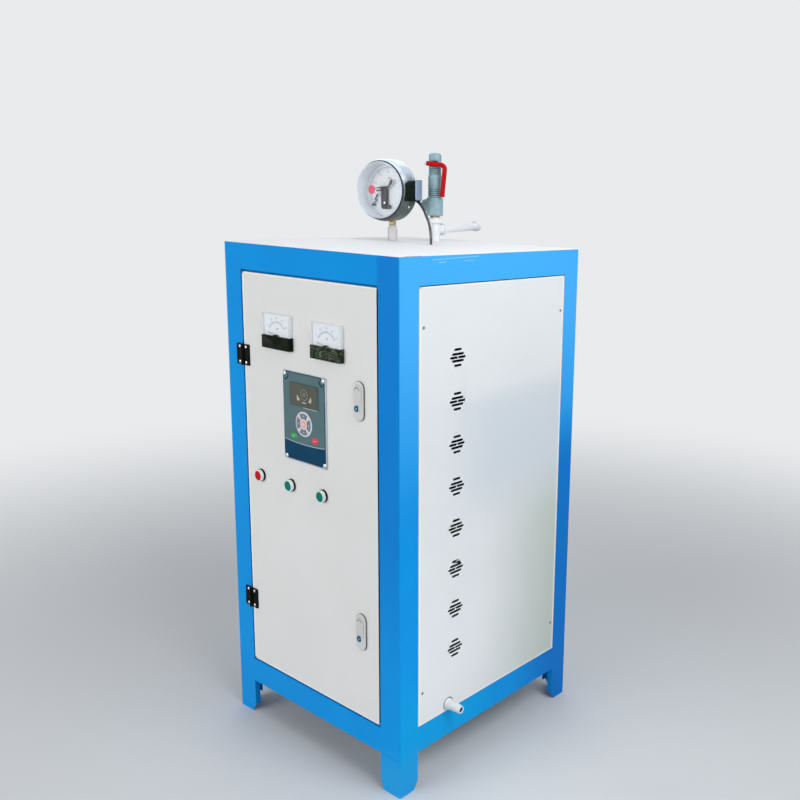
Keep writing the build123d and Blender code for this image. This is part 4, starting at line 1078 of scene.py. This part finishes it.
# %% Tee and outlet pipe
softened("steam_tee", "steam_tee_painted", "cabinet", pipe_paint, 2.4, 4)
turned_piece("steam_tee_bead", "cabinet", pipe_paint, valve_foot, UP,
             [(12, 1246.5), (15.8, 1247.3), (17, 1249.4), (17.2, 1252), (17.2, 1256.5), (16.4, 1259.8),
              (13, 1261.6)], 64)
softened("outlet_pipe", "outlet_pipe_painted", "cabinet", pipe_paint, 2.6, 4)
softened("valve_nipple", "valve_nipple_brass", "cabinet", brass, 0.6)
drain = turned_piece("blow_down_pipe_turned", "cabinet", thread_steel, at(285, -150, 167), RIGHT,
                     [(6.3, -3), (12.2, -3), (12.2, 14.8), (13.5, 15), (13.7, 16), (13.4, 16.9),
                      (12.6, 17.2), (12.2, 18), (11.4, 27), (10.3, 40), (9, 54), (8.2, 57.6),
                      (7.4, 58.2), (6.7, 57.9), (6.3, 56.6)], 64, hole=True)
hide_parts("drain_pipe")
# painted shade in the drain's mouth
turned_piece("blow_down_bore_shade", "cabinet", painted_gap_shade, at(285, -150, 167), RIGHT,
             [(6.35, 54), (6.35, 55)], 48)
print("tee and pipes softened")

# %% [markdown]
# Each panel meter is a white dial under a clear moulded cover. The cover's lower third is closed by a
# glossy black band that hides the movement, with a round rise over the zero screw. The cover is a box
# with soft front edges, its back face taken off and a wall given to the rest.

# %% Finishes of the meters
# black and glossy, so the room shows in it
band_black = surface("glossy_black_moulded_band", "meter_body", "#0E150B", 0.2, tint="#161D12",
                     cloud_mm=14, specular=0.12, ior=deep_ior)
# the same black, with pale folds of film wandering over it
band_wrapped = surface("black_band_under_creased_film", "meter_body", "#0E150B", 0.24, cloud_mm=14,
                       specular=0.15, ior=deep_ior)
crease_place = add(band_wrapped, "Mapping", Scale=(1, 1, 1.7),
                   Vector=add(band_wrapped, "TexCoord").outputs["Object"])
creases = add(band_wrapped, "TexNoise", Scale=1 / (35 * MM), Detail=1.0, Distortion=1.2,
              Vector=crease_place.outputs[0])
crease_tones = add(band_wrapped, "ValToRGB", i0=creases.outputs["Fac"],
                   stops=[(0.0, "#10170D"), (0.42, "#1B2418"), (0.45, "#566352"), (0.48, "#1A2316"),
                          (0.56, "#222C22"), (0.585, "#7E8A79"), (0.61, "#182014"), (0.7, "#3A4637")])
plug(part_of(band_wrapped, "BsdfPrincipled"), Base_Color=crease_tones.outputs["Color"])
# cold white
face_white = surface("bluish_white_meter_dial", "meter_body", "#F4FAFF", 0.45, cloud_mm=20)
# so pale that the scale is only just seen
ink_blue = surface("pale_blue_grey_scale_ink", "meter_body", "#ADBBC9", 0.5, cloud_mm=10)
# darker than the scale, so the unit stands out
ink_dark = surface("dark_scale_ink", "meter_body", "#1E2830", 0.5, cloud_mm=10)
# slate grey in this light
needle_black = surface("slate_painted_meter_needle", "button_black", "#6F7B87", 0.4, cloud_mm=5)
print("meter finishes ready")

# %% [markdown]
# The meters' scales run over 116 degrees round a pivot behind the band, from 0 to 400. The right
# meter still has its creased protective film on the band.

# %% Panel meters
meter_covers = []
pivot_drop, scale_right, scale_left, figure_step = 10, 32, 148, 29
for side, mx, mz, unit, band in (("left", -95, 1007, "A", band_black),
                                 ("right", 80, 1004, "V", band_wrapped)):
    meter_plane = (at(mx, front_y, mz), FRONT)
    plate_piece(f"meter_dial_{side}", "door", face_white, at(mx, front_y - 6, mz + 13), FRONT,
                (90, 48, 0.4))
    pivot = at(mx, front_y - 6.4, mz - pivot_drop)
    marks = [
        printed_ring(f"meter_arc_{side}", "door", ink_blue, pivot, FRONT, 29.6, 31,
                     lambda a: scale_right <= a <= scale_left),
        printed_ring(f"meter_ticks_{side}", "door", ink_blue, pivot, FRONT, 31, 34,
                     lambda a: scale_right - 0.5 <= a <= scale_left + 0.5
                     and (a - scale_right) % 5.8 < 1.4),
        printed_ring(f"meter_long_{side}", "door", ink_blue, pivot, FRONT, 31, 36.5,
                     lambda a: scale_right - 1 <= a <= scale_left + 1
                     and (a - scale_right) % figure_step < 1.6),
    ]
    for count in range(5):
        turn = radians(scale_left - figure_step * count)
        place = (40.5 * cos(turn), 40.5 * sin(turn) - pivot_drop)
        marks.append(printed_text(f"meter_figure_{side}_{count}", "door", ink_blue, meter_plane,
                                  str(count * 100), place, 6.5, 5.2))
    joined(marks, f"meter_scale_{side}")
    printed_text(f"meter_unit_{side}", "door", ink_dark, meter_plane, unit, (2, 6), 6.5, 9)
    bar_piece(f"meter_needle_{side}", "door", needle_black, meter_plane, (-12, -7.5), (-32, -3.5), 7.4,
              1.1, 0.6, 0.2, 0.1)
    plate_piece(f"meter_band_{side}", "door", band, at(mx, front_y - 0.2, mz - 25.6), FRONT,
                (101, 30, 12.3), 0.8, 1.2)
    turned_piece(f"meter_zero_rise_{side}", "door", band, at(mx, front_y - 6.5, mz - 21.3), FRONT,
                 [(14.5, 0), (14.5, 5.2), (13.6, 6), (10, 6.2), (3.4, 6.2), (3.2, 5.4), (0.6, 5.4)], 64)
    frame_piece = block((96, 76, 10), (0, 0, 5.2))
    take_off(lambda f: abs(f.normal.z) > 0.9)
    modified(frame_piece, "SOLIDIFY", thickness=1.6 * MM, offset=-1)
    stand(frame_piece, at(mx, front_y, mz), *FRONT)
    finish(frame_piece, f"meter_frame_{side}", "door", meter_plastic)
    cover = block((100, 80, 11.8), (0, 0, 6.1))
    round_edges(lambda e: abs(e.verts[0].co.z - e.verts[1].co.z) > 0.01, 1.6, 4)
    round_rim(lambda f: f.normal.z > 0.9, 1.4, 4)
    take_off(lambda f: f.normal.z < -0.9)
    modified(cover, "SOLIDIFY", thickness=1.8 * MM, offset=-1)
    stand(cover, at(mx, front_y, mz), *FRONT)
    meter_covers.append(finish(cover, f"meter_cover_{side}", "door", meter_clear))
cover_pair = joined(meter_covers, "meter_clear_covers")
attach(cover_pair, "door")
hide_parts("meter_covers")
print("two meters with covers", [round(v * 1000) for v in cover_pair.dimensions], "mm")

# %% [markdown]
# The controller has a silver plate behind a printed film. The film's corners are cut back round the
# four screws, its foot is navy under a shallow curve, and the keys are domes pressed up in the film.
# The curve is cut with a very large round, as the printer's drawing would have it.

# %% Controller plate and film
# deep navy, flat as print
navy_film = surface("navy_printed_film", "controller_face", "#053A5A", 0.4, tint="#094566", cloud_mm=40,
                    specular=0.2, ior=deep_ior)
# a thin bright line round the film
silver_plate = surface("brushed_aluminium_plate", "controller_face", "#A3ABB9", 0.36, 0.35, tint="#B4BCC9",
                       cloud_mm=20)
# a pale line between the two colours of film
film_line = surface("pale_printed_line", "controller_face", "#9FB2BC", 0.4, cloud_mm=20)
# a dark line that frames the film
film_dark = surface("dark_teal_printed_border", "controller_face", "#133C50", 0.4, tint="#18475C",
                    cloud_mm=20, specular=0.2, ior=deep_ior)
cx, cz = -5.6, 817.0
curve_radius, curve_low = 630, 756.5
silver = plate_piece("controller_plate", "door", silver_plate, at(cx - 0.9, front_y, cz + 0.5), FRONT,
                     (153.4, 208.6, 1.7), 4, 0.5)
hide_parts("controller")
plate_piece("controller_border", "door", film_dark, at(cx - 3.2, front_y - 1.7, cz + 1.4), FRONT,
            (147.6, 204.4, 0.5), 13, round_steps=1)
plate_piece("controller_film", "door", controller_film, at(cx - 3, front_y - 2.2, cz + 1.4), FRONT,
            (144, 200.8, 0.5), 14.5, round_steps=1)
foot_film = plate_piece("controller_foot_film", "door", navy_film, at(cx - 3, front_y - 2.6, cz - 73),
                        FRONT, (144.2, 51.8, 0.3), 0)
curve_middle = at(cx - 2.4, front_y - 2.6, curve_low + curve_radius)
clear()
mesh_ops.primitive_cylinder_add(vertices=720, radius=curve_radius * MM, depth=20 * MM)
round_cutter = bpy.context.object
stand(round_cutter, curve_middle, *FRONT)
cut_out(foot_film, round_cutter)
printed_ring("controller_curve_line", "door", film_line, curve_middle, FRONT, 628.4, 630.2,
             lambda a: abs(a - 270) < 6.4, 0.45, 1440)
for sx, sz in ((-77.8, 914), (60.6, 914), (-76, 721), (62, 722.6)):
    turned_piece(f"controller_screw_{'l' if sx < 0 else 'r'}{'t' if sz > 800 else 'b'}", "door", nickel,
                 at(sx + (2 if sx < 0 else 0), front_y - 1.6, sz), FRONT,
                 [(5, 0), (5, 1), (4.4, 2.2), (2.6, 2.9), (1, 3)], 32)
for side, sx, start in (("l", -75.8, 272), ("r", 60.6, 182)):
    printed_ring(f"controller_corner_arc_{side}", "door", navy_film, at(sx, front_y - 2.6, 914), FRONT,
                 11.4, 15.2, lambda a, start=start: start < a < start + 86, 0.3, 120)
print("film over a plate of", [round(v * 1000) for v in silver.dimensions], "mm")

# %% [markdown]
# The display is a dark window in the film, with a lit picture of plain signs: a ring of dots with
# figures in it, a rising bar at each side and a short line below. They are thin printed pieces.

# %% Controller display
# a dim olive window
screen_glass = surface("olive_display_window", "controller_face", "#3D4335", 0.3, tint="#454B3C",
                       cloud_mm=40)
# painted shade: the window's dark outline, a shadow line round its edge
screen_shade = surface("dark_display_edge", "controller_face", "#20424C", 0.4, cloud_mm=20)
# signs that stand out from the window
lit_sign = surface("pale_lit_display_sign", "controller_face", "#CFC9BA", 0.5, cloud_mm=6)
# signs half lost in it
faint_sign = surface("faint_display_sign", "controller_face", "#938F7F", 0.5, cloud_mm=6)
plate_piece("display_edge", "door", screen_shade, at(-6.6, front_y - 2.6, 871.2), FRONT, (105, 55, 0.35),
            1.5)
plate_piece("display_window", "door", screen_glass, at(-9.6, front_y - 2.8, 870.2), FRONT,
            (96.6, 50.5, 0.4), 0.8)
display_plane = (at(-6, front_y, 872), FRONT)
signs = [printed_ring("display_dots", "door", faint_sign, at(-6, front_y - 3.2, 873), FRONT, 11, 13.2,
                      lambda a: a % 30 < 17, 0.2, 120),
         printed_text("display_figures", "door", faint_sign, display_plane, "00", (0, 1), 3.3, 13)]
joined(signs, "display_ring_sign")
for side, way in (("left", -1), ("right", 1)):
    bars = [bar_piece(f"display_bar_{side}_{k}", "door", lit_sign, display_plane, (way * (24 - 3 * k), -14),
                      (way * (24 - 3 * k), -2 - 3.6 * k), 3.2, 2.4, 0.3, 0.4, 0.1) for k in range(3)]
    joined(bars, f"display_bars_{side}")
bar_piece("display_line", "door", lit_sign, display_plane, (-7, -17), (7, -17), 3.2, 2.2, 0.3, 0.6, 0.1)
# painted highlight: a glint of light along the window's lower part, drawn in the signs' pale colour
bar_piece("display_glint", "door", lit_sign, display_plane, (-4, -28.6), (46, -28.6), 3.0, 1.2, 0.3, 0.4,
          0.1)
print("display signs joined")

# %% [markdown]
# The keys are a round pad with four grey segments between white spokes, and two oval keys. A key of
# a film panel is a dome a millimetre high, so each is turned with a rounded edge.

# %% Controller keys
# warm white spokes and marks
pad_white = surface("pinkish_white_key_print", "controller_face", "#D9CFD3", 0.42, tint="#E3DADD",
                    cloud_mm=10)
# cool grey segments between them
pad_grey = surface("slate_key_segment", "controller_face", "#5E6F7C", 0.38, tint="#73858F", cloud_mm=8)
# a warm dot in the middle
pad_peach = surface("peach_key_print", "controller_face", "#E9A083", 0.4, tint="#F0B39A", cloud_mm=6)
# a fresh green, as printed
key_green = surface("green_key_print", "button_green", "#1E9A4C", 0.36, tint="#2AA85A", cloud_mm=6)
# a warm red, as printed
key_red = surface("red_key_print", "button_red", "#D8283C", 0.36, tint="#E23A4C", cloud_mm=6)
pad_centre = at(-9, front_y - 2.6, 805)
turned_piece("key_pad_ring", "door", pad_white, pad_centre, FRONT,
             [(29, 0), (29, 0.5), (28.4, 1), (27.2, 1.2), (6, 1.2)], 72)
printed_ring("key_pad_segments", "door", pad_grey, pad_centre + FRONT[1] * 1.2 * MM, FRONT, 12.5, 25,
             lambda a: abs((a + 45) % 90 - 45) < 35, 0.35, 180)
printed_ring("key_pad_arrows", "door", film_line, pad_centre + FRONT[1] * 1.5 * MM, FRONT, 17, 20.4,
             lambda a: abs((a + 45) % 90 - 45) < 9, 0.2, 180)
turned_piece("key_pad_hub", "door", pad_peach, pad_centre + FRONT[1] * 1.2 * MM, FRONT,
             [(8.6, 0), (8.6, 0.3), (8, 0.5), (2, 0.6)], 48, widen=0.86)
turned_piece("key_pad_hub_ring", "door", pad_white, pad_centre + FRONT[1] * 1.8 * MM, FRONT,
             [(3.6, 0), (3.4, 0.25), (1, 0.3)], 32)
for name, kx, kz, high, wide, key_print, mark in (
        ("green", -46, 772.5, 6.9, 1.66, key_green, ((0, -2.4), (0, 2.4))),
        ("red", 30, 772.6, 7.8, 1.42, key_red, ((-3, 0), (3, 0)))):
    turned_piece(f"key_oval_{name}", "door", key_print, at(kx, front_y - 2.6, kz), FRONT,
                 [(high, 0), (high, 0.5), (high - 0.6, 1.1), (high - 1.8, 1.4), (1, 1.5)], 48, widen=wide)
    bar_piece(f"key_mark_{name}", "door", pad_white, (at(kx, front_y, kz), FRONT), *mark, 4.0, 1.6, 0.3,
              0.4, 0.1)
print("pad and two keys made")

# %% [markdown]
# The hinges are held by pale countersunk screws, and so are the side panels, which carry two at each
# side edge. Each head is turned in its place, so it can be left out or changed alone.

# %% Screws
# small grey dots on the white panels
zinc_screw = surface("dull_zinc_screw", "lock_grey", "#7E857F", 0.42, 0.4, tint="#6C736E", cloud_mm=3)


def screw_at(name, body, place, axes, radius, rise, material=nickel):
    return turned_piece(name, body, material, place, axes,
                        [(radius, 0), (radius, rise * 0.35), (radius * 0.8, rise * 0.8),
                         (radius * 0.4, rise)], 24)


for level, z in (("low", 320), ("high", 936.5)):
    for column, x, body in (("post", -247, "cabinet"), ("door", -223, "door")):
        for row, dz in (("under", -18.5), ("over", 18.5)):
            screw_at(f"hinge_screw_{level}_{column}_{row}", body, at(x, front_y - 2.9, z + dz), FRONT, 3.8,
                     1.3)
for side, x, axes in (("right", half_side, RIGHT), ("left", -half_side, LEFT)):
    for y, column in ((-232, "f"), (232, "b")):
        for z, row in ((228, "l"), (1052, "h")):
            screw_at(f"panel_screw_{side}_{column}{row}", "cabinet", at(x, y, z), axes, 3.4, 0.9,
                     zinc_screw)
print("screws set")

# %% [markdown]
# Each latch sits on a dark rubber seal. Its plate is a satin casting with a finger pocket, the
# handle lies in the pocket, and a round blue button with a pale middle lets the handle go.

# %% Latches
# a soft dark outline round the latch
seal_rubber = surface("dark_grey_rubber_seal", "lock_grey", "#61635E", 0.6, tint="#6C6E68", cloud_mm=12,
                      specular=0.25)
# deep blue with a soft shine
button_blue = surface("deep_blue_moulded_button", "lock_grey", "#004C74", 0.34, tint="#045A84", cloud_mm=6,
                      specular=0.3)
# a pale dot in it
button_pale = surface("pale_blue_moulded_dot", "lock_grey", "#7FB4CC", 0.34, cloud_mm=6)
# the shaded edge of the finger pocket
pocket_shade = surface("dark_pocket_edge", "lock_grey", "#5A5B56", 0.5, cloud_mm=6, specular=0.2)
# satin like its plate, a shade darker
handle_zinc = surface("satin_zinc_handle", "lock_grey", "#CCCCCB", 0.4, 0.15, tint="#D6D6D4", cloud_mm=16)
for level, z in (("lower", 362), ("upper", 888.5)):
    plate_piece(f"latch_seal_{level}", "door", seal_rubber, at(178.5, front_y, z), FRONT, (33, 87, 3.4),
                16.4, 0.4, 2)
    softened(f"lock_{level}", f"latch_plate_{level}", "door", lock_zinc, 0.7, 2)
    softened(f"lock_handle_{level}", f"latch_handle_{level}", f"lock_handle_{level}", handle_zinc, 0.9, 3)
    turned_piece(f"latch_button_{level}", "door", button_blue, at(174.8, front_y - 4.9, z - 16.4), FRONT,
                 [(7.3, 0), (7.3, 1.2), (6.7, 1.9), (3.2, 2), (2.8, 1.7)], 48)
    turned_piece(f"latch_button_dot_{level}", "door", button_pale, at(174.8, front_y - 6.5, z - 16.4),
                 FRONT, [(2.3, 0), (2.1, 0.4), (0.9, 0.5)], 32)
    printed_ring(f"latch_finger_arc_{level}", f"lock_handle_{level}", pocket_shade,
                 at(175.8, front_y - 5.48, z + 22.4), FRONT,
                 6.4, 8.0, lambda a: 12 <= a <= 168, 0.2, 180)
print("two latches dressed")

# %% [markdown]
# The buttons are round caps in white bezels. The bezel stands a little proud of the cap, so a white
# ring shows all round, and it rounds over as a moulding does.

# %% Push buttons
bezels = []
for place, x in (("red", -178.5), ("green_left", -63), ("green_right", 52.5)):
    bezels.append(turned_piece(f"bezel_{place}", "door", bezel_white, at(x, front_y, 650), FRONT,
                               [(13.5, 4.4), (13.5, 11.6), (13.2, 12.3), (12.7, 12.5), (12.1, 12.2),
                                (11.9, 11.6), (11.9, 4.4)],
                               64, hole=True))
bezel_set = joined(bezels, "button_bezels_white")
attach(bezel_set, "door")
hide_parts("button_bezels")
print("bezels turned")

# %% [markdown]
# Sheet that is folded has a rounded edge, and that thin round catches the light along the door and
# the panels. Only the outer edges of the visible faces are rounded. The slots are punched: their
# edges get a narrow bevel of their own, painted near black as painted shade, so each slot reads as a crisp
# dark line.

# %% Folded edges of the door and the panels
# the cut edge lies in shade and gives nothing back
slot_edge = surface("dark_punched_slot_edge", "panel_white", "#050709", 0.8, tint="#0A0C0E", cloud_mm=8,
                    specular=0.0)
slot_reach, slot_low, slot_high = 236, 165, 1123
touching = 2e-5  # metres within which a point counts as on a face


def in_slot_field(place):
    """True well inside the rim of a side panel, where only the slots are."""
    return abs(place.y - middle_y) < slot_reach * MM and slot_low * MM < place.z < slot_high * MM


def on_rim(axis, face, low, high):
    """A test for edges on the rim of a flat face, given in millimetres from the cabinet's middle."""
    others = [k for k in range(3) if k != axis]
    flat = at(*face)[axis]
    limits = (at(*low), at(*high))

    def test(e):
        return all(abs(v.co[axis] - flat) < touching for v in e.verts) and any(
            all(abs(v.co[k] - limit[k]) < touching for v in e.verts) for k in others for limit in limits)
    return test


def on_slots(e):
    """Sharp edges of the outer face of the right or left panel that lie inside its rim: the slots'."""
    sharp = e.is_manifold and e.calc_face_angle_signed() > radians(35)
    return sharp and all(abs(abs(v.co.x - middle_x) - half_side * MM) < touching and in_slot_field(v.co)
                         for v in e.verts)


softened("door_leaf", "door_leaf_folded", "door", grey_coat, 2.4, 4,
         on_rim(1, (0, front_y, 0), (-232.5, front_y, 155), (232.5, front_y, 1133)))
for side, x in (("right", half_side), ("left", -half_side)):
    panel = softened(f"panel_{side}", f"panel_{side}_folded", "cabinet", white_coat, 2.6, 4,
                     on_rim(0, (x, 0, 0), (x, -245, 151), (x, 245, 1137)), more=[(on_slots, 0.7, 1)])
    panel.data.materials.append(slot_edge)
    edit(test_faces=lambda f: abs(f.normal.x) < 0.9 and in_slot_field(f.calc_center_median()))
    panel.active_material_index = 1
    bpy.ops.object.material_slot_assign()
    leave()
softened("top_plate", "top_plate_folded", "cabinet", top_coat, 0.6, 2)
print("edges of the door, two panels and the top folded")

# %% [markdown]
# A fold catches the light as a thin pale line. It is a painted highlight: a flat cream strip a
# few millimetres wide along each edge of the door and the side panels.

# %% Painted highlights on the folds
# painted highlight: a cream line of light along the fold
painted_edge_highlight = surface("cream_powder_on_folded_edge", "panel_white", "#F7F4EE", 0.45, tint="#FBF8F2",
                    cloud_mm=60)
for name, body, plane, corners, sides in (
        ("panel_right", "cabinet", right_face, (-244.6, 151.4, 244.6, 1136.6), "lbtr"),
        ("panel_left", "cabinet", left_face, (-244.6, 151.4, 244.6, 1136.6), "lbtr"),
        ("door", "door", front_face, (-232.1, 155.4, 232.1, 1132.6), "lbt")):
    x0, z0, x1, z1 = corners
    lines = {"l": ((x0 + 2.5, z0), (x0 + 2.5, z1)), "r": ((x1 - 2.5, z0), (x1 - 2.5, z1)),
             "b": ((x0, z0 + 1.6), (x1, z0 + 1.6)), "t": ((x0, z1 - 1.6), (x1, z1 - 1.6))}
    strips = [bar_piece(f"{name}_edge_{side}", body, painted_edge_highlight, plane, *lines[side], 0.02,
                        4.6 if side in "lr" else 3.0, 0.16, 0, 0) for side in sides]
    joined(strips, f"{name}_painted_edge_highlight")
print("pale lines laid on three faces")

# %% [markdown]
# Small marks show at the top and the edges: rubbed places on the top rail and the lap seam of the
# front post, which are marks of use and make, and painted shade in the gap under a lifted end of the
# top sheet, in the shadow gap over the panel and on the door's edge beside the post. All are thin
# strips that lie on the painted faces.

# %% Scuffs, painted shade in gaps, and seam
# pale streaks where the coat is rubbed
scuff_blue = surface("pale_scuffed_powder_coat", "frame_blue", "#86CCFA", 0.5, tint="#9AD4FB", cloud_mm=5)
scuffs = [bar_piece(f"scuff_{k}", "cabinet", scuff_blue, right_face, *ends, 0.01, wide, 0.12, 0, 0)
          for k, (*ends, wide) in enumerate((
              ((-209, 1190), (-137, 1192.6), 1.4), ((-188, 1184.2), (-167, 1185), 1.8),
              ((-158, 1191.7), (-66, 1193.9), 1.4), ((-112, 1185.2), (-83, 1185.2), 1.2)))]
joined(scuffs, "top_rail_scuffs")
# painted shade: a soft grey line in the gap under the lifted end of the top sheet
lift_shade = surface("painted_shade_under_lifted_sheet", "panel_white", "#7F97AC", 0.6, cloud_mm=12)
# a thin line of shadow
gap_navy = surface("navy_shadow_gap", "frame_blue", "#06203C", 0.7, tint="#0A2A4C", cloud_mm=20,
                   specular=0.1)
# painted shade: a matt black stripe on the door's right edge, which lies in shade beside the post
door_edge_shade = surface("black_foam_edge_seal", "hinge_black", "#10161E", 0.8, tint="#161D26", cloud_mm=10,
                     specular=0.1)
# a darker line under the paint
seam_blue = surface("lap_seam_under_paint", "frame_blue", "#0069B4", 0.6, tint="#0072C0", cloud_mm=12,
                    specular=0.1)
door_edge_face = (at(232.5, 0, 0), RIGHT)
for name, body, mark, face, *sizes in (
        ("top_plate_lifted_gap", "cabinet", lift_shade, right_face, (-286, 1199.1), (-238, 1199.1), 0.02,
         1.3, 0.14),
        ("panel_right_top_gap", "cabinet", gap_navy, right_face, (-240, 1137.9), (245, 1137.9), 0.02, 1.7,
         0.14),
        ("door_side_seal", "door", door_edge_shade, door_edge_face, (-295.9, 158), (-295.9, 1130), 0.01, 6, 0.12),
        ("front_post_lap_seam", "cabinet", seam_blue, front_face, (238, 89.4), (296, 89.4), 0.01, 0.9,
         0.12)):
    bar_piece(name, body, mark, face, *sizes, 0, 0)
print("scuffs, two gaps, a seal and a seam laid")

# %% Finish
bpy.context.scene.view_settings.view_transform = "Standard"
clear()
